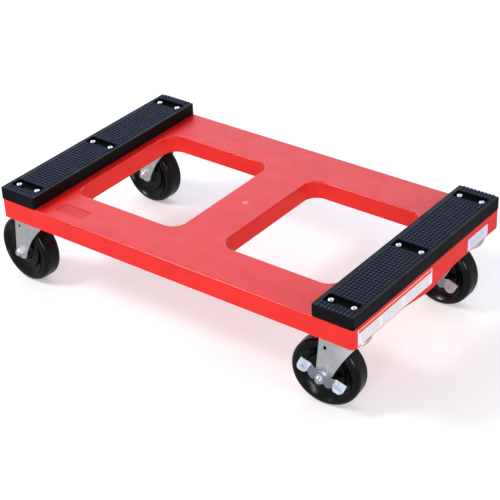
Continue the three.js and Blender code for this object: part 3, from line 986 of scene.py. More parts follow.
# ---------------------------------------------------------------- deck
@dataclass
class Deck:
    """The moulded deck: top skin, skirts, opening walls, ribs, bosses and caster seats.

    Its meshes are drawn about the middle of the top face, so depths below it are negative heights.
    """

    corner_radius: float = 6.0
    edge_round: float = 2.8
    edge_steps: int = 6
    skin: float = 5.0
    wall: float = 4.0
    skirt_depth: float = 36.8
    belly_depth: float = 46.5
    belly_half_width: float = 95.0
    opening_size: Point = (236.0, 274.0)
    opening_offset: float = 165.5
    opening_radius: float = 27.0
    opening_wall_depth: float = 34.0
    rim_ease: float = 0.8
    rib_foot: float = 2.2
    rib_root: float = 3.4
    rib_depth: float = 28.0
    cross_rib_depth: float = 26.0
    seat_edge: float = 311.0
    boss_radius: float = 6.5
    boss_depth: float = 24.0
    boss_draft: float = 0.6
    screw_hole: float = 3.2
    bolt_hole: float = 3.6
    bolt_pitch: Point = (44.0, 72.0)
    post: float = 15.0
    post_corner: float = 2.0
    panel_size: Point = (62.0, 28.0)
    panel_at: Point = (-238.0, -191.0)
    panel_depth: float = 0.8
    gate_at: Point = (-2.0, 1.0)
    gate_radius: float = 4.6
    gate_wall: float = 1.7
    gate_height: float = 0.6

    low: Vector = field(init=False)
    high: Vector = field(init=False)

    def __post_init__(self) -> None:
        """Reads the deck's box from the frame."""
        self.low, self.high = box_mm("deck")

    @property
    def middle(self) -> Vector:
        """The centre of the top face."""
        centre = (self.low + self.high) / 2
        return Vector((centre.x, centre.y, self.high.z))

    @property
    def size(self) -> Vector:
        """The deck's length, width and height."""
        return self.high - self.low

    def lower_edge(self, y: float) -> float:
        """Depth of the end skirts' lower edge below the top face at a place across the deck."""
        dip = 1 - smoothstep(abs(y), 0.0, self.belly_half_width)
        return -self.skirt_depth - (self.belly_depth - self.skirt_depth) * dip

    def opening(self, side: int, grow: float = 0.0) -> Loop:
        """The outline of a hand opening.

        Args:
            side: 1 for the front opening, -1 for the rear one.
            grow: How far it is grown all round.

        Returns:
            The outline.
        """
        size = (self.opening_size[0] + 2 * grow, self.opening_size[1] + 2 * grow)
        centre = (side * self.opening_offset, 0.0)
        return rounded_rectangle(size, self.opening_radius + grow, centre, steps=12)

    def under_side(self) -> Solid:
        """What is cut off below the deck's lower edge.

        Returns:
            A block whose upper face dips in the middle, all along the deck.
        """
        reach, deep, steps = self.size.y, 4 * self.belly_depth, 24
        half = self.belly_half_width
        dip = [half * (2 * k / steps - 1) for k in range(steps + 1)]
        edge = [(-reach, -self.skirt_depth), *[(y, self.lower_edge(y)) for y in dip]]
        outline = [(-reach, -deep), (reach, -deep), (reach, -self.skirt_depth), *edge[:0:-1]]
        outline.append((-reach, -self.skirt_depth))
        length = self.size.x
        blank = Solid.slab(outline, -length, length)
        turn = Matrix(((0, 0, 1), (1, 0, 0), (0, 1, 0))).to_4x4()
        return blank.moved(turn)

    def rib(self, start: Point, end: Point, depth: float) -> Solid:
        """A tapered rib with a rounded foot, hanging from inside the skin.

        Args:
            start: Where the rib starts, seen from above.
            end: Where it ends.
            depth: Depth of its foot.

        Returns:
            The rib.
        """
        foot, root, up = self.rib_foot / 2, self.rib_root / 2, 1 - self.skin
        section = [(-root, up), (-foot, 1 - depth), (1 - foot, -depth)]
        section += [(foot - 1, -depth), (foot, 1 - depth), (root, up)]
        return Solid.bar(section, Vector((*start, 0)), Vector((*end, 0)))

    def ribs(self) -> list[Solid]:
        """The ribs under the rails, the web between the openings and the ends.

        Returns:
            The ribs, each a solid of its own.
        """
        inside_x, inside_y = self.size.x / 2 - self.wall / 2, self.size.y / 2 - self.wall / 2
        half_opening = self.opening_size[0] / 2 + self.wall / 2
        inner, outer = self.opening_offset - half_opening, self.opening_offset + half_opening
        along_web = (-RIBS.web_y, 0.0, RIBS.web_y)
        deep: list[tuple[Point, Point]] = [((-inner, y), (inner, y)) for y in along_web]
        shallow: list[tuple[Point, Point]] = []
        for side in (-1, 1):
            deep += [((-self.seat_edge, side * y), (self.seat_edge, side * y)) for y in RIBS.rails]
            deep += [((side * outer, y), (side * inside_x, y)) for y in along_web]
            crossings = [k * RIBS.cross_pitch for k in range(-2, 3)]
            shallow += [((x, side * RIBS.rail_inner), (x, side * inside_y)) for x in crossings]
            for x, reach in ((self.seat_edge, inside_y), (RIBS.web_x, RIBS.rail_inner)):
                shallow.append(((side * x, -reach), (side * x, reach)))
        made = [self.rib(start, end, self.rib_depth) for start, end in deep]
        return made + [self.rib(start, end, self.cross_rib_depth) for start, end in shallow]

    def seat(self, x: float, y: float, bottom: float) -> list[Solid]:
        """The box of walls and four bolt posts over a caster's top plate.

        Args:
            x: The swivel axis along the deck.
            y: The swivel axis across the deck.
            bottom: Height of the seat's lower face.

        Returns:
            The walls and posts, each a solid of its own.
        """
        dx, dy = self.bolt_pitch[0] / 2, self.bolt_pitch[1] / 2
        up = 1 - self.skin
        made = []
        for side in (-1, 1):
            level = rounded_rectangle((2 * dx, self.rib_root), 1.0, (x, y + side * dy))
            upright = rounded_rectangle((self.rib_root, 2 * dy), 1.0, (x + side * dx, y))
            made += [Solid.slab(level, bottom, up, edge=0.5), Solid.slab(upright, bottom, up, edge=0.5)]
            for other in (-1, 1):
                centre = (x + side * dx, y + other * dy)
                block = rounded_rectangle((self.post, self.post), self.post_corner, centre)
                made.append(Solid.slab(block, bottom, up, edge=0.6))
        return made

    def shell(self) -> Solid:
        """The top skin with its skirts and opening walls.

        Returns:
            The hollow moulding, before anything hangs from inside it.
        """
        deep = self.belly_depth + 3 * self.edge_round
        sides = (-1, 1)
        outline = rounded_rectangle((self.size.x, self.size.y), self.corner_radius)
        openings = [self.opening(side) for side in sides]
        block = Solid.slab(outline, -deep, 0.0, openings, self.edge_round, self.edge_steps)
        inside = (self.size.x - 2 * self.wall, self.size.y - 2 * self.wall)
        inner = rounded_rectangle(inside, self.corner_radius - 2)
        walls = [self.opening(side, self.wall) for side in sides]
        hollow = Solid.slab(inner, -2 * deep, -self.skin, walls, edge=1.5)
        round_walls = [self.opening(side, self.wall + 0.6) for side in sides]
        below = [Solid.slab(loop, -2 * deep, -self.opening_wall_depth) for loop in round_walls]
        shell = block.cut(hollow, self.under_side(), *below)
        return shell.eased(self.rim_ease, self.on_lower_rim)

    def boss(self) -> Solid:
        """A pad screw's boss, with its foot rounded.

        Returns:
            The boss about its own axis.
        """
        root = self.boss_radius + self.boss_draft
        corners = [(0, -self.boss_depth, 0), (self.boss_radius, -self.boss_depth, 0.8)]
        return Solid.turned(filleted([*corners, (root, -2, 0), (0, -2, 0)]), 24)

    def gate(self) -> Solid:
        """The raised ring where the plastic came into the mould.

        Returns:
            The ring about its own axis.
        """
        outer, inner = self.gate_radius, self.gate_radius - self.gate_wall
        crest, shoulder = (outer - self.gate_wall / 2, self.gate_height), self.gate_height / 2
        profile = [(inner, -1), (outer, -1), (outer, shoulder), crest, (inner, shoulder)]
        return Solid.turned(profile, 32)

    def mesh(
        self, screws: Sequence[Point], casters: Sequence[Point], seat_bottom: float
    ) -> bpy.types.Mesh:
        """The whole deck about the middle of its top face.

        Args:
            screws: Places of the pad screws.
            casters: Places of the swivel axes.
            seat_bottom: Height of the caster seats' lower face.

        Returns:
            The finished mesh.
        """
        deep = 2 * self.belly_depth
        dx, dy = self.bolt_pitch[0] / 2, self.bolt_pitch[1] / 2
        boss = self.boss()
        bosses = [boss.shifted(x, y) for x, y in screws]
        seats = [part for x, y in casters for part in self.seat(x, y, seat_bottom)]
        whole = self.shell().joined(*self.ribs(), *bosses, *seats)
        screw_hole = Solid.slab(circle(self.screw_hole, 16), -deep, self.skin)
        bolt_hole = Solid.slab(circle(self.bolt_hole, 20), -deep, self.skin)
        holes = [screw_hole.shifted(x, y) for x, y in screws]
        corners = [(i * dx, j * dy) for i in (-1, 1) for j in (-1, 1)]
        holes += [bolt_hole.shifted(x + i, y + j) for x, y in casters for i, j in corners]
        recess = rounded_rectangle(self.panel_size, 2.0, self.panel_at)
        panel = Solid.slab(recess, -self.panel_depth, self.skin)
        whole = whole.cut(*holes, panel).joined(self.gate().shifted(*self.gate_at))
        marks = {3: self.on_rounding, 1: self.on_panel, 2: self.on_gate}
        for material, chosen in marks.items():
            whole = whole.painted(material, chosen)
        return whole.finished()

    def on_rounding(self, point: Vector) -> bool:
        """Whether a point lies on the rounding along the rims of the top face."""
        return 0.03 - self.edge_round < point.z < -0.03

    def on_gate(self, point: Vector) -> bool:
        """Whether a point lies on the raised ring where the moulding gate was."""
        away = math.hypot(point.x - self.gate_at[0], point.y - self.gate_at[1])
        return away < self.gate_radius + 0.1 and point.z > 0.02

    def on_panel(self, point: Vector) -> bool:
        """Whether a point lies on the floor of the recessed panel.

        Args:
            point: The middle of a face.

        Returns:
            True on the panel.
        """
        dx, dy = abs(point.x - self.panel_at[0]), abs(point.y - self.panel_at[1])
        inside = dx < self.panel_size[0] / 2 and dy < self.panel_size[1] / 2
        return inside and abs(point.z + self.panel_depth) < 0.05

    def on_lower_rim(self, one: Vector, two: Vector) -> bool:
        """Whether an edge lies along a lower rim of the skirts or of the opening walls.

        Args:
            one: One end of the edge.
            two: Its other end.

        Returns:
            True on such a rim.
        """
        slack = 0.05
        skirt = all(p.z < self.lower_edge(p.y) + slack for p in (one, two))
        walls = all(abs(p.z + self.opening_wall_depth) < slack for p in (one, two))
        return skirt or walls


# ---------------------------------------------------------------- end pads
@dataclass
class EndPad:
    """A moulded rubber pad: screw pockets and a grid of raised bars on its top face."""

    corner_radius: float = 3.0
    edge_round: float = 1.1
    pocket: Point = (63.0, 24.0)
    pocket_depth: float = 9.0
    pocket_pitch: float = 197.5
    seat_radius: float = 6.0
    seat_height: float = 3.5
    lip: float = 1.3
    lip_height: float = 1.1
    screw_hole: float = 3.2
    relief: tuple[float, float, float] = (62.0, 92.0, 4.5)
    bar: Point = (5.0, 4.9)
    bar_height: float = 1.3
    bar_corner: float = 1.4
    bar_sunk: float = 0.8
    edge_bar_sunk: float = 2.6
    bar_pitch: float = 7.2
    bar_rows: int = 9
    bars_between: int = 23

    def raised_bar(self, length: float, foot: float) -> Solid:
        """One raised bar with rounded shoulders.

        Args:
            length: Its length across the dolly.
            foot: How deep it is sunk into the pad.

        Returns:
            The bar, the pad's face at height 0.
        """
        width, height = self.bar[0], self.bar_height
        rings = ((-foot, 0.0), (0.35 * height, 0.0), (0.8 * height, 0.25), (height, 0.9))
        work = bmesh.new()
        last: list[bmesh.types.BMVert] = []
        for up, inset in rings:
            size = (width - 2 * inset, length - 2 * inset)
            outline = rounded_rectangle(size, self.bar_corner - inset * 0.7, steps=2)
            ring = [work.verts.new((x, y, up)) for x, y in outline]
            if last:
                for k in range(len(ring)):
                    j = (k + 1) % len(ring)
                    work.faces.new((last[k], last[j], ring[j], ring[k]))
            else:
                work.faces.new(ring[::-1])
            last = ring
        work.faces.new(last)
        return Solid.kept(work)

    def bars(self, top: float, half_width: float) -> Solid:
        """The whole grid of raised bars.

        Args:
            top: Height of the face that the bars stand on.
            half_width: Distance from the pad's middle to its short edge.

        Returns:
            One solid of separate bars.
        """
        margin = self.lip + 0.9 + self.bar[1] / 2
        first = self.pocket[1] / 2 + margin
        last = self.pocket_pitch - first
        step = (last - first) / (self.bars_between - 1)
        places = [first + k * step for k in range(self.bars_between)]
        outer = self.pocket_pitch + first
        rows = [(k - (self.bar_rows - 1) / 2) * self.bar_pitch for k in range(self.bar_rows)]
        plain = self.raised_bar(self.bar[1], self.bar_sunk)
        start = outer + self.bar[1] / 2 + 1.8
        edge_length = half_width - 0.1 - start
        edge_bar = self.raised_bar(edge_length, self.edge_bar_sunk)
        grid = []
        for side in (-1, 1):
            for x in rows:
                grid += [plain.shifted(x, side * y, top) for y in (*places, outer)]
                grid.append(edge_bar.shifted(x, side * (start + edge_length / 2), top))
        return grid[0].beside(grid[1:])

    def mesh(
        self, low: Vector, high: Vector, casters: Sequence[Point], screws: Sequence[Point]
    ) -> bpy.types.Mesh:
        """The pad in the row frame.

        Args:
            low: The lowest corner of the pad's node.
            high: Its highest corner.
            casters: Places of the swivel axes; the pad is hollowed over their bolts.
            screws: Places of the pad's screws.

        Returns:
            The finished mesh.
        """
        size, middle = high - low, (high + low) / 2
        top = high.z - self.bar_height
        outline = rounded_rectangle((size.x, size.y), self.corner_radius, steps=5)
        body = Solid.slab(outline, low.z - 5, top, edge=self.edge_round, edge_steps=4)
        body = body.moved(Matrix.Translation((middle.x, middle.y, 0)))
        reach = Solid.slab(rounded_rectangle((size.x + 20, size.y + 20), 1), low.z - 20, low.z)
        tools = [reach.shifted(middle.x, middle.y)]
        floor = high.z - self.pocket_depth
        lips = []
        for row in (-1, 0, 1):
            y = middle.y + row * self.pocket_pitch
            mouth = rounded_rectangle(self.pocket, 2.2, (middle.x, y))
            tools.append(Solid.slab(mouth, floor, high.z + 9, edge=0.8, edge_steps=2))
            rim = (self.pocket[0] + 2 * self.lip, self.pocket[1] + 2 * self.lip)
            frame_outline = rounded_rectangle(rim, 2.2 + self.lip, (middle.x, y))
            crest = top + self.lip_height
            lips.append(Solid.slab(frame_outline, top - 2, crest, edge=0.45, edge_steps=2))
        seats, holes = [], []
        for x, y in screws:
            seat = circle(self.seat_radius, 24, (x, y))
            seat_top = floor + self.seat_height
            seats.append(Solid.slab(seat, floor - 1, seat_top, edge=0.6, edge_steps=2))
            holes.append(Solid.slab(circle(self.screw_hole, 16, (x, y)), low.z - 5, high.z - 1))
        length, width, depth = self.relief
        for x, y in casters:
            hollow = rounded_rectangle((length, width), 3.0, (x, y))
            tools.append(Solid.slab(hollow, low.z - 5, low.z + depth, edge=0.8))
        solid = body.joined(*lips).cut(*tools).joined(*seats).cut(*holes)
        grid = self.bars(top, size.y / 2).shifted(middle.x, middle.y)
        return solid.joined(grid).finished(crease=38)


@dataclass
class PadScrew:
    """A button-head screw with a hexagon socket."""

    head_radius: float = 5.3
    head_height: float = 3.4
    rim_height: float = 1.5
    shank_radius: float = 2.6
    thread_pitch: float = 1.8
    thread_depth: float = 0.7
    length: float = 36.0
    socket: float = 3.4
    socket_depth: float = 1.9

    def mesh(self) -> bpy.types.Mesh:
        """The screw, standing with the seat of its head at height 0.

        Returns:
            The finished mesh.
        """
        radius, height = self.head_radius, self.head_height
        crown = height - self.rim_height
        turns = [k * math.pi / 16 for k in range(8)]
        dome = [(radius * math.cos(t), self.rim_height + crown * math.sin(t)) for t in turns]
        core = self.shank_radius - self.thread_depth
        thread: Loop = []
        for k in range(int((self.length - 9) / self.thread_pitch)):
            level = -4.0 - k * self.thread_pitch
            thread += [(core, level), (self.shank_radius, level - self.thread_pitch / 2)]
        profile = [(0, height), *dome[::-1], (radius, 0.3), (radius - 0.3, 0)]
        profile += [(self.shank_radius, 0), (self.shank_radius, -3.6), *thread]
        profile += [(core, -self.length + 4), (0, -self.length)]
        flats = circle(self.socket / math.sqrt(3), 6)
        socket = Solid.slab(flats, height - self.socket_depth, height + 2)
        return Solid.turned(profile, 32).cut(socket).finished()


# ---------------------------------------------------------------- labels
@dataclass
class Label:
    """A blank sticker on the front skirt, with generic rules in place of any wording.

    Distances are taken from the sticker's left and upper edges.
    """

    node: str
    corner: float
    base: Finish
    band: tuple[float, float] | None
    text_top: float
    columns: tuple[tuple[float, float], ...]
    rows: int
    row_pitch: float = 2.9
    rule_height: float = 0.7
    rule_gap: float = 1.2
    rule_runs: Point = (3.0, 11.0)
    film: float = 0.34
    ink: float = 0.05
    seed: int = 5

    def rules(self, height: float, back: float, front: float) -> list[Solid]:
        """Rows of short printed bars.

        Args:
            height: Height of the sticker.
            back: Height of the ink's lower face above the sticker's back.
            front: Height of its upper face.

        Returns:
            The bars, each a solid of its own.
        """
        draw = random.Random(self.seed)
        made = []
        for start, end in self.columns:
            for row in range(self.rows):
                y = height - self.text_top - row * self.row_pitch
                x = start
                while x < end - 4:
                    run = min(draw.uniform(*self.rule_runs), end - x)
                    middle = (x + run / 2, y)
                    outline = rounded_rectangle((run, self.rule_height), 0.2, middle, steps=2)
                    made.append(Solid.slab(outline, back, front))
                    x += run + self.rule_gap
        return made

    def place(self) -> None:
        """Builds the sticker on its node's box."""
        low, high = box_mm(self.node)
        width, height = high.y - low.y, high.z - low.z
        # The sticker is drawn flat, x along +Y and y upwards, and then stood on the skirt.
        outline = rounded_rectangle((width, height), self.corner, (width / 2, height / 2))
        sheet = Solid.slab(outline, 0.0, self.film)
        back, front = self.film - 0.02, self.film + self.ink
        if self.band:
            first, last = height - self.band[1], height - self.band[0]
            middle = (width / 2, (first + last) / 2)
            stripe = rounded_rectangle((width - 5, last - first), 0.4, middle)
            sheet = sheet.beside([Solid.slab(stripe, back, front)], 1)
        sheet = sheet.beside(self.rules(height, back, front), 2)
        stand = Matrix(((0, 0, 1, low.x), (1, 0, 0, low.y), (0, 1, 0, low.z), (0, 0, 0, 1)))
        name = f"vinyl_{self.node.replace('label', 'sticker')}"
        mesh = sheet.moved(stand).finished()
        place_piece(name, mesh, (self.base, ORANGE_INK, GREY_INK), "deck", stands_for=self.node)


# ---------------------------------------------------------------- caster parts
class Brake(Enum):
    """Whether a caster has a brake lever."""

    NONE = "none"
    SEE_SAW = "see-saw"


def along_axle(solid: Solid, axle: Vector) -> Solid:
    """Lays a solid made about Z along the axle, its +Z end towards -Y."""
    return solid.moved(Matrix.Translation(axle) @ Matrix.Rotation(math.radians(90), 4, "X"))


@dataclass
class SwivelHead:
    """What is bolted to the deck, and the ring of balls that the fork turns on."""

    plate_size: Point = (60.0, 88.0)
    plate_thickness: float = 4.0
    plate_corner: float = 6.0
    plate_top: float = 154.1
    bolt_pitch: Point = (44.0, 72.0)
    bolt_hole: float = 3.6
    kingpin_radius: float = 6.4
    kingpin_room: float = 0.6
    kingpin_head: Point = (10.5, 4.5)
    crown_bottom: float = 137.0
    race_radius: float = 36.0
    race_wall: float = 3.0
    race_bottom: float = 142.2
    ball_circle: float = 27.0
    ball_radius: float = 2.85
    ball_height: float = 143.9
    balls: int = 20
    cage_half: float = 1.6
    bolt_radius: float = 3.0
    bolt_head: Point = (6.5, 3.1)
    bolt_past_plate: float = 6.4
    nut_across: float = 10.0
    nut_height: float = 5.0

    def top_plate(self) -> bpy.types.Mesh:
        """The plate, with its bolt holes and the kingpin's hole.

        Returns:
            The finished mesh.
        """
        dx, dy = self.bolt_pitch[0] / 2, self.bolt_pitch[1] / 2
        holes = [circle(self.bolt_hole, 20, (i * dx, j * dy)) for i in (-1, 1) for j in (-1, 1)]
        holes.append(circle(self.kingpin_radius + self.kingpin_room, 28))
        outline = rounded_rectangle(self.plate_size, self.plate_corner, steps=6)
        bottom = self.plate_top - self.plate_thickness
        plate = Solid.slab(outline, bottom, self.plate_top, holes, edge=0.5, edge_steps=2)
        return plate.finished()

    def raceway(self) -> bpy.types.Mesh:
        """The pressed cup that covers the balls, with a rolled lower lip.

        Returns:
            The finished mesh.
        """
        top = self.plate_top - self.plate_thickness - 0.3
        bore, inner = self.kingpin_radius + self.kingpin_room, self.race_radius - self.race_wall
        corners = [
            (bore, top - 2.4, 0),
            (inner - 1.5, top - 2.4, 2.0),
            (inner, self.race_bottom + 2.0, 1.0),
            (inner - 0.6, self.race_bottom + 0.6, 0.5),
            (inner + 0.4, self.race_bottom, 0.4),
            (self.race_radius - 0.4, self.race_bottom, 0.4),
            (self.race_radius, self.race_bottom + 1.4, 0.8),
            (self.race_radius - 0.8, top, 2.6),
            (bore, top, 0),
        ]
        return Solid.turned(filleted(corners), 72).finished()

    def kingpin(self) -> bpy.types.Mesh:
        """The rivet that holds plate, raceway and fork together, with a domed head.

        Returns:
            The finished mesh.
        """
        radius, height = self.kingpin_head
        seat = self.crown_bottom - 0.3
        dome = arc((0, seat - 1.4), 1.0, -90, 0, 6)
        head = [(x * radius, seat - 1.4 + (z - seat + 1.4) * (height - 1.4)) for x, z in dome]
        end = self.plate_top - 0.6
        profile = [*head, (radius, seat), (self.kingpin_radius, seat)]
        profile += [(self.kingpin_radius, end - 0.6), (self.kingpin_radius - 0.6, end), (0, end)]
        return Solid.turned(profile, 36).finished()

    def ball_ring(self) -> bpy.types.Mesh:
        """The swivel balls in their cage.

        Returns:
            The finished mesh.
        """
        work = bmesh.new()
        for k in range(self.balls):
            turn = 2 * math.pi * k / self.balls
            x, y = self.ball_circle * math.cos(turn), self.ball_circle * math.sin(turn)
            place = Matrix.Translation((x, y, self.ball_height))
            bmesh.ops.create_icosphere(work, subdivisions=2, radius=self.ball_radius, matrix=place)
        balls = Solid.kept(work)
        inner, outer = self.ball_circle - self.cage_half, self.ball_circle + self.cage_half
        cage = [(inner, self.ball_height - 0.5), (outer, self.ball_height - 0.5)]
        cage += [(outer, self.ball_height + 0.5), (inner, self.ball_height + 0.5)]
        return balls.joined(Solid.turned(cage, 60)).finished()

    def carriage_bolt(self, seat: float) -> bpy.types.Mesh:
        """A mushroom-head bolt that ties deck and plate, the seat of its head at height 0.

        Args:
            seat: Height of the face that the head sits on.

        Returns:
            The finished mesh.
        """
        radius, (head, high) = self.bolt_radius, self.bolt_head
        length = seat - (self.plate_top - self.plate_thickness) + self.bolt_past_plate
        turns = [k * math.pi / 14 for k in range(7)]
        crown = [(head * math.cos(t), 0.5 + (high - 0.5) * math.sin(t)) for t in turns]
        thread: Loop = []
        for k in range(9):
            level = 0.8 - length + k
            thread += [(radius - 0.45, level), (radius, level + 0.5)]
        profile = [(0, -length), (radius - 0.8, -length), *thread, (radius, -2.5), (radius, 0)]
        profile += [(head - 0.1, 0), *crown, (0, high)]
        return Solid.turned(profile, 28).finished()

    def plate_nut(self) -> bpy.types.Mesh:
        """A hexagon nut with its upper face at height 0."""
        nut = Solid.hexagon(self.nut_across, -self.nut_height, 0.0, 0.9)
        return nut.cut(Solid.slab(circle(self.bolt_radius + 0.15, 20), -9.0, 4.0)).finished()


@dataclass
class Fork:
    """The pressed fork: a flat blank folded into two legs, with a round crown.

    The legs' own sizes are taken from the axle, x towards the crown and y upwards. Their front
    edge is one curve with four control points.
    """

    thickness: float = 3.0
    leg_middle: float = 23.5
    bend_radius: float = 5.0
    crown_middle: float = 138.9
    crown_radius: float = 34.0
    crown_top: float = 140.6
    crown_bottom: float = 136.8
    kingpin_hole: float = 7.0
    axle_hole: float = 5.2
    lobe_radius: float = 14.5
    lobe_x: float = 1.5
    leg_rear: float = -5.0
    leg_top: float = 74.5
    leg_curve: tuple[Point, ...] = ((66.0, 74.5), (44.0, 54.0), (30.0, 28.0), (16.0, 0.0))
    slot_at: Point = (5.5, 57.0)
    slot_size: Point = (5.4, 7.0)
    crease_x: float = 22.0
    crease_soft: float = 3.0
    crease_slope: float = 0.36

    @property
    def bend_start(self) -> float:
        """Distance from the middle at which the crown starts to bend down."""
        return self.leg_middle - self.bend_radius

    @property
    def bend_end(self) -> float:
        """The same distance along the sheet at the lower end of the bend."""
        return self.bend_start + self.bend_radius * math.pi / 2

    def developed(self, height: float, axle: Vector) -> float:
        """Distance along the sheet, from the middle of the crown, of a height above the axle."""
        return self.bend_end + (self.crown_middle - self.bend_radius) - (axle.z + height)

    def leg_outline(self, axle: Vector) -> Loop:
        """One leg of the blank, from the crown's front down, round the lobe and up to its rear.

        Args:
            axle: The axle's centre.

        Returns:
            The outline, x along the dolly and y along the sheet.
        """
        front: Loop = []
        steps = 14
        for k in range(steps):
            t = k / steps
            weights = ((1 - t) ** 3, 3 * t * (1 - t) ** 2, 3 * t * t * (1 - t), t**3)
            pulls = list(zip(weights, self.leg_curve))
            front.append((sum(w * x for w, (x, _) in pulls), sum(w * y for w, (_, y) in pulls)))
        lobe = arc((self.lobe_x, 0), self.lobe_radius, 0, -180, 20)
        rear = [(self.leg_rear - 1.2, 60.0), (self.leg_rear, self.leg_top)]
        return [(x + axle.x, self.developed(height, axle)) for x, height in (*front, *lobe, *rear)]

    def blank(self, axle: Vector) -> Solid:
        """The flat blank, with the axle holes and the slots.

        Args:
            axle: The axle's centre.

        Returns:
            The blank, x along the dolly and y along the sheet.
        """
        leg = self.leg_outline(axle)
        other = [(x, -s) for x, s in reversed(leg)]
        holes = []
        for side in (-1, 1):
            centre = (axle.x, side * self.developed(0, axle))
            holes.append(circle(self.axle_hole, 28, centre))
            slot_centre = (axle.x + self.slot_at[0], side * self.developed(self.slot_at[1], axle))
            holes.append(rounded_rectangle(self.slot_size, 0.5, slot_centre, steps=2))
        half = self.thickness / 2
        return Solid.slab([*leg, *other], -half, half, holes, edge=0.45, edge_steps=2)

    def folded(self, point: Vector, axle: Vector) -> Vector:
        """Where a point of the blank goes when the legs are bent down and the front set in.

        Args:
            point: A point of the blank.
            axle: The axle's centre.

        Returns:
            The point in the caster's frame.
        """
        side = 1 if point.y > 0 else -1
        along, thick = abs(point.y), point.z
        if along <= self.bend_start:
            across, up = along, self.crown_middle + thick
        elif along <= self.bend_end:
            turn = (along - self.bend_start) / self.bend_radius
            reach = self.bend_radius + thick
            across = self.bend_start + reach * math.sin(turn)
            up = self.crown_middle - self.bend_radius + reach * math.cos(turn)
        else:
            across = self.leg_middle + thick
            up = self.crown_middle - self.bend_radius - (along - self.bend_end)
        ahead = point.x - axle.x - self.crease_x
        soft = self.crease_soft
        run = 0.0 if ahead < -soft else ahead if ahead > soft else (ahead + soft) ** 2 / (4 * soft)
        slope = self.crease_slope * smoothstep(up - axle.z, 18.0, 74.0)
        across -= run * slope * smoothstep(along, 0.0, self.bend_start)
        return Vector((point.x, side * across, up))

    def mesh(self, axle: Vector) -> bpy.types.Mesh:
        """The fork in the caster's frame.

        Args:
            axle: The axle's centre.

        Returns:
            The finished mesh.
        """
        bends = [self.bend_start + (self.bend_end - self.bend_start) * k / 6 for k in range(7)]
        levels = [*bends, *[self.bend_end + 6.0 * k for k in range(1, 14)]]
        creases = [axle.x + self.crease_x + k for k in range(-3, 4)]
        creases += [axle.x + self.crease_x + k for k in (10, 18, 26, 34)]
        blank = self.blank(axle).sliced(1, [s * side for s in levels for side in (-1, 1)])
        sheet = blank.sliced(0, creases).bent(lambda point: self.folded(point, axle))
        rim = self.crown_radius
        profile = filleted(
            [
                (0, self.crown_bottom, 0),
                (rim - 2.0, self.crown_bottom, 1.2),
                (rim, self.crown_bottom + 1.6, 0.8),
                (rim, self.crown_top, 0.8),
                (self.kingpin_hole + 10, self.crown_top, 0.4),
                (self.kingpin_hole + 9, self.crown_top - 0.5, 0.4),
                (0, self.crown_top - 0.5, 0),
            ]
        )
        bore = Solid.slab(circle(self.kingpin_hole, 28), 100.0, 180.0)
        return sheet.joined(Solid.turned(profile, 64)).cut(bore).finished()


@dataclass
class Axle:
    """The axle bolt, its lock nut and the spacer bushing inside the hub."""

    radius: float = 4.9
    head_across: float = 15.0
    head_height: float = 6.2
    chamfer: float = 1.1
    thread_pitch: float = 1.15
    thread_turns: int = 9
    past_nut: float = 2.0
    nut_height: float = 8.0
    collar_radius: float = 6.7
    leg_outer: float = 25.0
    leg_inner: float = 22.0
    gap: float = 0.3
    lever_stack: float = 6.3
    bushing_radius: float = 8.2
    bushing_ease: float = 0.5

    def nut_seat(self, brake: Brake) -> float:
        """Distance from the wheel's middle to the face that the nut sits on."""
        return self.leg_outer + self.gap + (self.lever_stack if brake is Brake.SEE_SAW else 0.0)

    def bolt(self, axle: Vector, brake: Brake) -> bpy.types.Mesh:
        """The bolt, its head on the +Y side and its thread showing past the nut.

        Args:
            axle: The axle's centre.
            brake: Whether the nut sits on a brake lever.

        Returns:
            The finished mesh.
        """
        face = -self.leg_outer - self.gap
        head = Solid.hexagon(self.head_across, face - self.head_height, face, self.chamfer)
        end = self.nut_seat(brake) + self.nut_height + self.past_nut
        thread: Loop = []
        for k in range(self.thread_turns):
            level = end - 11.0 + k * self.thread_pitch
            thread += [(self.radius, level), (self.radius - 0.55, level + self.thread_pitch / 2)]
        profile = [(0, face - 1), (self.radius, face - 1), *thread]
        profile += [(self.radius - 0.9, end), (0, end)]
        return along_axle(head.joined(Solid.turned(profile, 32)), axle).finished()

    def nut(self, axle: Vector, brake: Brake) -> bpy.types.Mesh:
        """The lock nut: a hexagon with a rolled collar.

        Args:
            axle: The axle's centre.
            brake: Whether the nut sits on a brake lever.

        Returns:
            The finished mesh.
        """
        seat = self.nut_seat(brake)
        top, flats = seat + self.nut_height, seat + 0.68 * self.nut_height
        body = Solid.hexagon(self.head_across, seat, flats + 0.4, self.chamfer)
        radius = self.collar_radius
        collar = [(0, seat + 1), (radius, seat + 1), (radius, top - 1.0)]
        collar += [(radius - 0.6, top - 0.15), (radius - 1.1, top), (0, top)]
        bore = Solid.slab(circle(self.radius + self.gap, 28), seat - 2, top + 3)
        return along_axle(body.joined(Solid.turned(collar, 40)).cut(bore), axle).finished()

    def bushing(self, axle: Vector) -> bpy.types.Mesh:
        """The spacer tube that the fork clamps, with broken edges.

        Args:
            axle: The axle's centre.

        Returns:
            The finished mesh.
        """
        inner, outer, end = self.radius + self.gap, self.bushing_radius, self.leg_inner - self.gap
        ease = self.bushing_ease
        half = [(outer - ease, end), (outer, end - ease), (inner, end - ease), (inner + ease, end)]
        low = [(x, -z) for x, z in half]
        profile = [low[2], low[3], low[0], low[1], half[1], half[0], half[3], half[2]]
        return along_axle(Solid.turned(profile, 40), axle).finished()


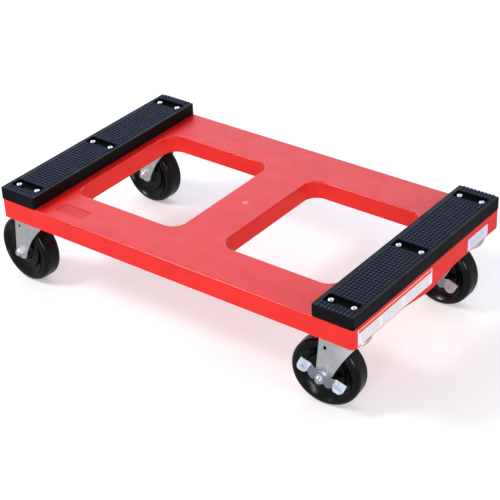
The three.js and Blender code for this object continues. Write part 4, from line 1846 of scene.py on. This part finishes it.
@dataclass
class Wheel:
    """The one-piece wheel and the roller bearing in its hub."""

    radius: float = 63.5
    half_width: float = 19.0
    shoulder: float = 9.5
    hub_half: float = 20.5
    hub_radius: float = 19.0
    bore: float = 11.5
    lip_radius: float = 52.6
    channel_depth: float = 9.4
    channel_start: float = 0.55
    ring_radius: float = 35.0
    ring_height: float = 2.4
    web: float = 12.6
    segments: int = 120
    bearing_inner: float = 8.5
    bearing_outer: float = 11.2
    bearing_half: float = 19.7
    rollers: int = 12

    def side_profile(self) -> Loop:
        """One side of the wheel, from the bore out to the middle of the tread.

        Returns:
            (radius, distance from the wheel's middle) points.
        """
        floor = self.half_width - self.channel_depth
        path = filleted(
            [
                (self.bore, self.hub_half - 0.8, 0),
                (self.bore + 0.8, self.hub_half, 0.3),
                (self.hub_radius - 1.5, self.hub_half, 1.2),
                (self.hub_radius + 1.2, self.web + 1.0, 1.6),
                (self.ring_radius - 4.0, self.web - 0.6, 2.0),
                (self.ring_radius - 1.8, self.web + self.ring_height, 0.8),
                (self.ring_radius + 0.6, self.web + self.ring_height, 0.9),
                (self.ring_radius + 3.2, floor + 0.6, 3.0),
            ],
            steps=5,
        )
        # The channel climbs in one shallow hollow sweep to the lip.
        low = Vector((self.ring_radius + 3.6, floor))
        sweep = Vector((self.lip_radius - 0.9, self.half_width - 0.7)) - low
        for k in range(1, 13):
            t = k / 12
            climb = self.channel_start * t + (1 - self.channel_start) * t * t
            path.append((low.x + sweep.x * t, low.y + sweep.y * climb))
        lip, half = self.lip_radius, self.half_width
        path += [(lip - 0.4, half - 0.15), (lip + 0.4, half)]
        centre = (self.radius - self.shoulder, self.half_width - self.shoulder)
        path += arc(centre, self.shoulder, 90, 0, 12)
        return path

    def mesh(self, axle: Vector) -> bpy.types.Mesh:
        """The wheel on its axle.

        Args:
            axle: The axle's centre.

        Returns:
            The finished mesh.
        """
        half = self.side_profile()
        profile = [*[(r, -y) for r, y in half], *reversed(half)]
        return along_axle(Solid.turned(profile, self.segments), axle).finished()

    def bearing(self, axle: Vector) -> bpy.types.Mesh:
        """The roller cage: two end rings with the rollers between them.

        Args:
            axle: The axle's centre.

        Returns:
            The finished mesh.
        """
        inner, outer, half = self.bearing_inner, self.bearing_outer, self.bearing_half
        middle, roller = (inner + outer) / 2, (outer - inner) / 2 - 0.1
        hole = circle(inner, 40)
        ring = Solid.slab(circle(outer, 40), -half, -half + 3, [hole], edge=0.3, edge_steps=2)
        rod = Solid.slab(circle(roller, 14), 2 - half, half - 2)
        rods = [
            rod.shifted(middle * math.cos(turn), middle * math.sin(turn))
            for turn in (2 * math.pi * k / self.rollers for k in range(self.rollers))
        ]
        cage = ring.joined(*rods, ring.shifted(z=2 * half - 3))
        return along_axle(cage, axle).finished()


@dataclass
class BrakeLever:
    """The pressed see-saw lever: a wavy bar with a raised boss and a pedal at each end.

    Its waves are drawn from a pedal in to the axle, and mirrored for the other side.
    """

    thickness: float = 3.0
    inside: float = 25.3
    tilt: float = 20.7
    hole: float = 5.2
    boss_radius: float = 13.5
    boss_rise: float = 3.0
    pedal_near: float = 24.0
    pedal_far: float = 45.0
    pedal_top: float = 12.0
    pedal_length: float = 20.0
    pedal_round: float = 8.5
    pedal_bend: float = 35.0
    pedal_root: float = 3.6
    crest_wave: tuple[Point, ...] = ((17, 9), (9, 14.2), (0, 16.3))
    belly_wave: tuple[Point, ...] = ((-24, -7), (-15.5, -14.5), (-8, -11.5), (0, -14))
    dome_steps: int = 16

    def outline(self) -> Loop:
        """The bar seen from the side, level, about the axle.

        Returns:
            The outline, the same on both sides of the axle.
        """
        near, far, top = self.pedal_near, self.pedal_far, self.pedal_top
        root = top - self.pedal_root
        crest: Loop = [(near, top), *self.crest_wave]
        belly: Loop = [(-near - 6, top - 5), *self.belly_wave]
        waves = [spline([*half, *[(-x, y) for x, y in half[-2::-1]]], 6) for half in (crest, belly)]
        return [(far, root), (far, top), *waves[0], (-far, top), (-far, root), *waves[1]]

    def raised(self, point: Vector) -> Vector:
        """Presses the boss out of the flat bar and rolls the wings a little.

        Args:
            point: A point of the flat bar.

        Returns:
            Where the press puts it.
        """
        reach, x = math.hypot(point.x, point.y), abs(point.x)
        radius = self.boss_radius
        boss = self.boss_rise * (1 - smoothstep(reach, radius * 0.62, radius * 1.08))
        wing = 0.9 * smoothstep(x, 14, 20) * (1 - smoothstep(x, 24, 32))
        return Vector((point.x, point.y, point.z + boss + wing * (1 - (point.y / 14) ** 2)))

    def pedal(self, side: int) -> Solid:
        """One pedal: a plate that hangs from the bar's top edge and leans outwards.

        Args:
            side: 1 for the pedal on +X, -1 for the other.

        Returns:
            The pedal, in place on the bar.
        """
        width, round_ = self.pedal_far - self.pedal_near, self.pedal_round
        low = -self.pedal_length
        outline = [(width / 2, 0), (-width / 2, 0)]
        outline += arc((round_ - width / 2, low + round_), round_, 180, 270, 8)
        outline += arc((width / 2 - round_, low + round_), round_, 270, 360, 8)
        plate = Solid.slab(outline, 0.0, self.thickness, edge=0.6, edge_steps=3)
        rib = rounded_rectangle((width - 8, 2.2), 1.0, (0, low * 0.62), steps=4)
        plate = plate.joined(Solid.slab(rib, 1.0, self.thickness + 0.5, edge=0.4))
        lean = Matrix.Rotation(math.radians(-self.pedal_bend), 4, "X")
        middle = side * (self.pedal_near + self.pedal_far) / 2
        return plate.moved(Matrix.Translation((middle, self.pedal_top, 0)) @ lean)

    def mesh(self, axle: Vector) -> bpy.types.Mesh:
        """The lever in the caster's frame.

        Args:
            axle: The axle's centre.

        Returns:
            The finished mesh.
        """
        hole = circle(self.hole, 28)
        blank = Solid.slab(self.outline(), 0.0, self.thickness, [hole], edge=0.6, edge_steps=3)
        reach = self.boss_radius * 1.1
        grid = [reach * (2 * k / self.dome_steps - 1) for k in range(self.dome_steps + 1)]
        wings = [side * x for side in (-1, 1) for x in (17, 20, 23, 26, 29, 32)]
        bar = blank.sliced(0, [*grid, *wings]).sliced(1, grid).bent(self.raised)
        whole = bar.joined(self.pedal(-1), self.pedal(1))
        # Drawn flat with y upwards and z outwards, then stood on the -Y side of the fork.
        stand = Matrix(((1, 0, 0, 0), (0, 0, -1, -self.inside), (0, 1, 0, 0), (0, 0, 0, 1)))
        turn = Matrix.Rotation(math.radians(self.tilt), 4, "Y")
        return whole.moved(Matrix.Translation(axle) @ turn @ stand).finished()


@dataclass(frozen=True)
class Part:
    """One kind of caster part.

    The node and the body are those of the frame, without the caster's name.
    """

    name: str
    node: str
    body: str
    mesh: bpy.types.Mesh
    finish: Finish


@dataclass
class CasterKit:
    """The parts of a caster, each mesh made once about its swivel axis and shared."""

    axle: Vector
    deck_top: float
    head: SwivelHead = field(default_factory=SwivelHead)
    fork: Fork = field(default_factory=Fork)
    axle_set: Axle = field(default_factory=Axle)
    wheel: Wheel = field(default_factory=Wheel)
    lever: BrakeLever = field(default_factory=BrakeLever)
    parts: dict[Brake, list[Part]] = field(init=False)
    bolting: list[tuple[str, bpy.types.Mesh, float]] = field(init=False)

    def __post_init__(self) -> None:
        """Makes the parts of both kinds of caster, and the bolting of the top plate."""
        axle, head = self.axle, self.head
        held = [
            Part("mounting_plate", "top_plate", "deck", head.top_plate(), ZINC_STEEL),
            Part("ball_race_cup", "raceway", "deck", head.raceway(), ZINC_STEEL),
            Part("swivel_rivet", "kingpin", "deck", head.kingpin(), ZINC_STEEL),
            Part("caged_balls", "ball_ring", "fork", head.ball_ring(), GROUND_STEEL),
            Part("pressed_fork", "fork", "fork", self.fork.mesh(axle), ZINC_STEEL),
            Part("spacer_tube", "axle_bushing", "fork", self.axle_set.bushing(axle), GROUND_STEEL),
        ]
        rolling = [
            Part("moulded_wheel", "wheel", "wheel", self.wheel.mesh(axle), BLACK_WHEEL),
            Part("roller_cage", "roller_bearing", "wheel", self.wheel.bearing(axle), GROUND_STEEL),
        ]
        self.parts = {brake: held + self.fastening(brake) + rolling for brake in Brake}
        lever = Part("see_saw_lever", "brake_lever", "brake", self.lever.mesh(axle), BARREL_STEEL)
        self.parts[Brake.SEE_SAW].append(lever)
        seat = self.deck_top + 0.1
        under_plate = head.plate_top - head.plate_thickness - 0.05
        self.bolting = [
            ("carriage_bolt", head.carriage_bolt(seat), seat),
            ("hex_nut", head.plate_nut(), under_plate),
        ]

    def fastening(self, brake: Brake) -> list[Part]:
        """Axle bolt and nut, which sit further out where there is a lever.

        Args:
            brake: Whether there is a lever.

        Returns:
            The two parts.
        """
        bolt, nut = self.axle_set.bolt(self.axle, brake), self.axle_set.nut(self.axle, brake)
        return [
            Part("hex_bolt", "axle_bolt", "fork", bolt, BRIGHT_STEEL),
            Part("lock_nut", "axle_nut", "fork", nut, BRIGHT_STEEL),
        ]


@dataclass
class Caster:
    """One caster, placed by its joints."""

    name: str
    kit: CasterKit
    swivel: Vector = field(init=False)
    yaw: float = field(init=False)
    brake: Brake = field(init=False)

    def __post_init__(self) -> None:
        """Reads where the caster stands and how it is turned from the frame's joints."""
        joints = {joint["name"]: joint for joint in frame["joints"]}
        self.swivel = Vector(joints[f"swivel_{self.name}"]["pos_m"])
        axis = joints[f"spin_{self.name}"]["axis"]
        self.yaw = math.atan2(axis[0], -axis[1])
        self.brake = Brake.SEE_SAW if f"brake_{self.name}" in joints else Brake.NONE

    @property
    def place(self) -> Point:
        """The swivel axis in the row frame, in millimetres."""
        return (self.swivel.x / MM, self.swivel.y / MM)

    def build(self) -> None:
        """Places every piece of the caster on its body."""
        square = Matrix.Translation((self.swivel.x, self.swivel.y, 0))
        turned = square @ Matrix.Rotation(self.yaw, 4, "Z")
        for part in self.kit.parts[self.brake]:
            name, node = f"{part.name}_{self.name}", f"{part.node}_{self.name}"
            if part.body == "deck":
                place_piece(name, part.mesh, (part.finish,), "deck", square, stands_for=node)
            else:
                body = f"{part.body}_{self.name}"
                place_piece(name, part.mesh, (part.finish,), body, turned, stands_for=node)
        self.bolt_down(square)

    def bolt_down(self, square: Matrix) -> None:
        """Adds the four bolts and nuts of the top plate.

        Args:
            square: The swivel axis, square to the deck.
        """
        dx, dy = self.kit.head.bolt_pitch[0] / 2 * MM, self.kit.head.bolt_pitch[1] / 2 * MM
        corners = [(i * dx, j * dy) for i in (-1, 1) for j in (-1, 1)]
        for name, mesh, height in self.kit.bolting:
            for k, (x, y) in enumerate(corners, 1):
                at = square @ Matrix.Translation((x, y, height * MM))
                place_piece(f"{name}_{self.name}_{k}", mesh, (BRIGHT_STEEL,), "deck", at)


# ---------------------------------------------------------------- studio
@dataclass
class Viewpoint:
    """A camera that looks at a point of the dolly from a given direction."""

    target: Vector
    azimuth: float = 38.509
    elevation: float = 31.486
    roll: float = -2.666
    distance: float = 2.7142
    offset: Point = (0.0074, -0.08294)
    sensor: float = 36.0
    lens: float = 110.254

    def build(self) -> None:
        """Makes the scene's camera."""
        az, el, roll = (math.radians(a) for a in (self.azimuth, self.elevation, self.roll))
        back = Vector((math.sin(az) * math.cos(el), -math.cos(az) * math.cos(el), math.sin(el)))
        level = Vector((math.cos(az), math.sin(az), 0))
        upright = back.cross(level)
        right = math.cos(roll) * level + math.sin(roll) * upright
        up = math.cos(roll) * upright - math.sin(roll) * level
        data = bpy.data.cameras.new("viewpoint")
        data.sensor_width = self.sensor
        data.lens = self.lens
        data.clip_end = 50.0
        camera = bpy.data.objects.new("viewpoint", data)
        bpy.context.scene.collection.objects.link(camera)
        spot = self.target + back * self.distance + right * self.offset[0] + up * self.offset[1]
        turn = Matrix((right, up, back)).transposed().to_4x4()
        camera.matrix_world = Matrix.Translation(spot) @ turn
        bpy.context.scene.camera = camera


@dataclass
class SoftBox:
    """A rectangular area lamp that points at the dolly."""

    name: str
    at: tuple[float, float, float]
    size: Point
    power: float
    colour: str = "FFFFFF"

    def build(self, target: Vector) -> None:
        """Makes the lamp.

        Args:
            target: The point that it is turned towards, in metres.
        """
        data = bpy.data.lights.new(self.name, "AREA")
        data.shape = "RECTANGLE"
        data.size, data.size_y = self.size
        data.energy = self.power
        data.color = linear(self.colour)[:3]
        lamp = bpy.data.objects.new(self.name, data)
        bpy.context.scene.collection.objects.link(lamp)
        lamp.location = self.at
        lamp.rotation_euler = (target - Vector(self.at)).to_track_quat("-Z", "Y").to_euler()


@dataclass
class Studio:
    """A pale paper floor under a dim room, with soft boxes above, behind and in front."""

    floor_size: float = 14.0
    room: str = "F5F6FC"
    room_strength: float = 0.46
    boxes: tuple[SoftBox, ...] = (
        SoftBox("overhead", (-1.4, -1.4, 2.15), (0.8, 0.6), 33.0),
        SoftBox("back_sheet", (-1.7, 2.2, 1.9), (4.2, 2.2), 54.0, "DFE9FF"),
        SoftBox("front_strip", (1.0, -2.5, 0.85), (0.35, 1.5), 19.0, "EAF1FF"),
        SoftBox("right_fill", (2.5, -0.4, 1.0), (0.9, 0.6), 13.0),
        SoftBox("low_warm", (2.6, -1.6, 0.7), (0.4, 0.7), 3.0, "FFC48A"),
    )

    def build(self, target: Vector) -> None:
        """Makes the floor, the sky and the lamps.

        Args:
            target: The point that the lamps are turned towards, in metres.
        """
        scene = bpy.context.scene
        world = bpy.data.worlds.new("studio")
        world.use_nodes = True
        tree = world.node_tree
        tree.nodes.clear()
        light = {"Color": linear(self.room), "Strength": self.room_strength}
        sky = add_node(tree, "Background", light)
        add_node(tree, "OutputWorld", {"Surface": sky.outputs[0]})
        scene.world = world
        scene.view_settings.view_transform = "Standard"
        half = self.floor_size / 2
        mesh = bpy.data.meshes.new("floor")
        corners = [(-half, -half, 0), (half, -half, 0), (half, half, 0), (-half, half, 0)]
        mesh.from_pydata(corners, [], [(0, 1, 2, 3)])
        mesh.materials.append(material_of(SeamlessPaper("seamless_paper", "")))
        floor = bpy.data.objects.new("floor", mesh)
        # Kept out of the gloss, as black flags round the set would do.
        floor.visible_glossy = False
        scene.collection.objects.link(floor)
        for box in self.boxes:
            box.build(target)


# ---------------------------------------------------------------- the dolly
CASTER_NAMES = ("front_left", "front_right", "rear_left", "rear_right")
LABELS = (
    Label("label_large", 1.0, WHITE_VINYL, (1.2, 7.2), 10.4, ((8, 62), (70, 128), (138, 210)), 6),
    Label("label_small", 3.2, LILAC_VINYL, None, 7.0, ((9, 56),), 4, row_pitch=3.4),
)


def caster_kit(deck: Deck) -> CasterKit:
    """Args:
        deck: The deck that the casters are bolted to.
    """
    joints = {joint["name"]: joint for joint in frame["joints"]}
    swivel = Vector(joints["swivel_rear_left"]["pos_m"])
    spin = Vector(joints["spin_rear_left"]["pos_m"])
    trail = (Vector((spin.x, spin.y)) - Vector((swivel.x, swivel.y))).length
    return CasterKit(axle=Vector((-trail, 0, spin.z)) / MM, deck_top=deck.high.z)


def screw_places() -> dict[str, Vector]:
    """Where the pad screws stand.

    Returns:
        The seat of each screw's head in the row frame, in millimetres, by the name of its node.
    """
    names = sorted(name for name in frame["nodes"] if name.startswith("pad_screw"))
    height = PadScrew().head_height
    seats = {}
    for name in names:
        low, high = box_mm(name)
        seats[name] = Vector(((low.x + high.x) / 2, (low.y + high.y) / 2, high.z - height))
    return seats


def build_pads(casters: Sequence[Caster], screws: dict[str, Vector]) -> None:
    """Places both end pads and their screws.

    Args:
        casters: The casters, whose bolts the pads clear.
        screws: The seats of the screws' heads.
    """
    screw_mesh = PadScrew().mesh()
    for end in ("end_pad_front", "end_pad_rear"):
        low, high = box_mm(end)
        under = [c.place for c in casters if low.x < c.place[0] < high.x]
        through = [(s.x, s.y) for s in screws.values() if low.x < s.x < high.x]
        mesh = EndPad().mesh(low, high, under, through)
        piece = end.replace("end_pad", "rubber_pad")
        place_piece(piece, mesh, (BLACK_PAD,), "deck", stands_for=end)
    for name, seat in screws.items():
        at = Matrix.Translation(seat * MM)
        piece = name.replace("pad", "button")
        place_piece(piece, screw_mesh, (BRIGHT_STEEL,), "deck", at, stands_for=name)


def main() -> None:
    """Builds the dolly and the studio round the frame."""
    logging.basicConfig(level=logging.INFO, format="%(name)s: %(message)s")
    deck = Deck()
    middle = deck.middle
    Viewpoint(middle * MM).build()
    Studio().build(middle * MM)
    kit = caster_kit(deck)
    casters = [Caster(name, kit) for name in CASTER_NAMES]
    screws = screw_places()
    mesh = deck.mesh(
        [(s.x - middle.x, s.y - middle.y) for s in screws.values()],
        [(c.place[0] - middle.x, c.place[1] - middle.y) for c in casters],
        kit.head.plate_top + 0.3 - middle.z,
    )
    mesh.transform(Matrix.Translation(middle * MM))
    finishes = (RED_DECK, RED_PANEL, GATE_SCAR, RED_RIM)
    place_piece("deck_moulding", mesh, finishes, "deck", stands_for="deck")
    build_pads(casters, screws)
    for label in LABELS:
        label.place()
    for caster in casters:
        caster.build()


if __name__ == "__main__":
    main()
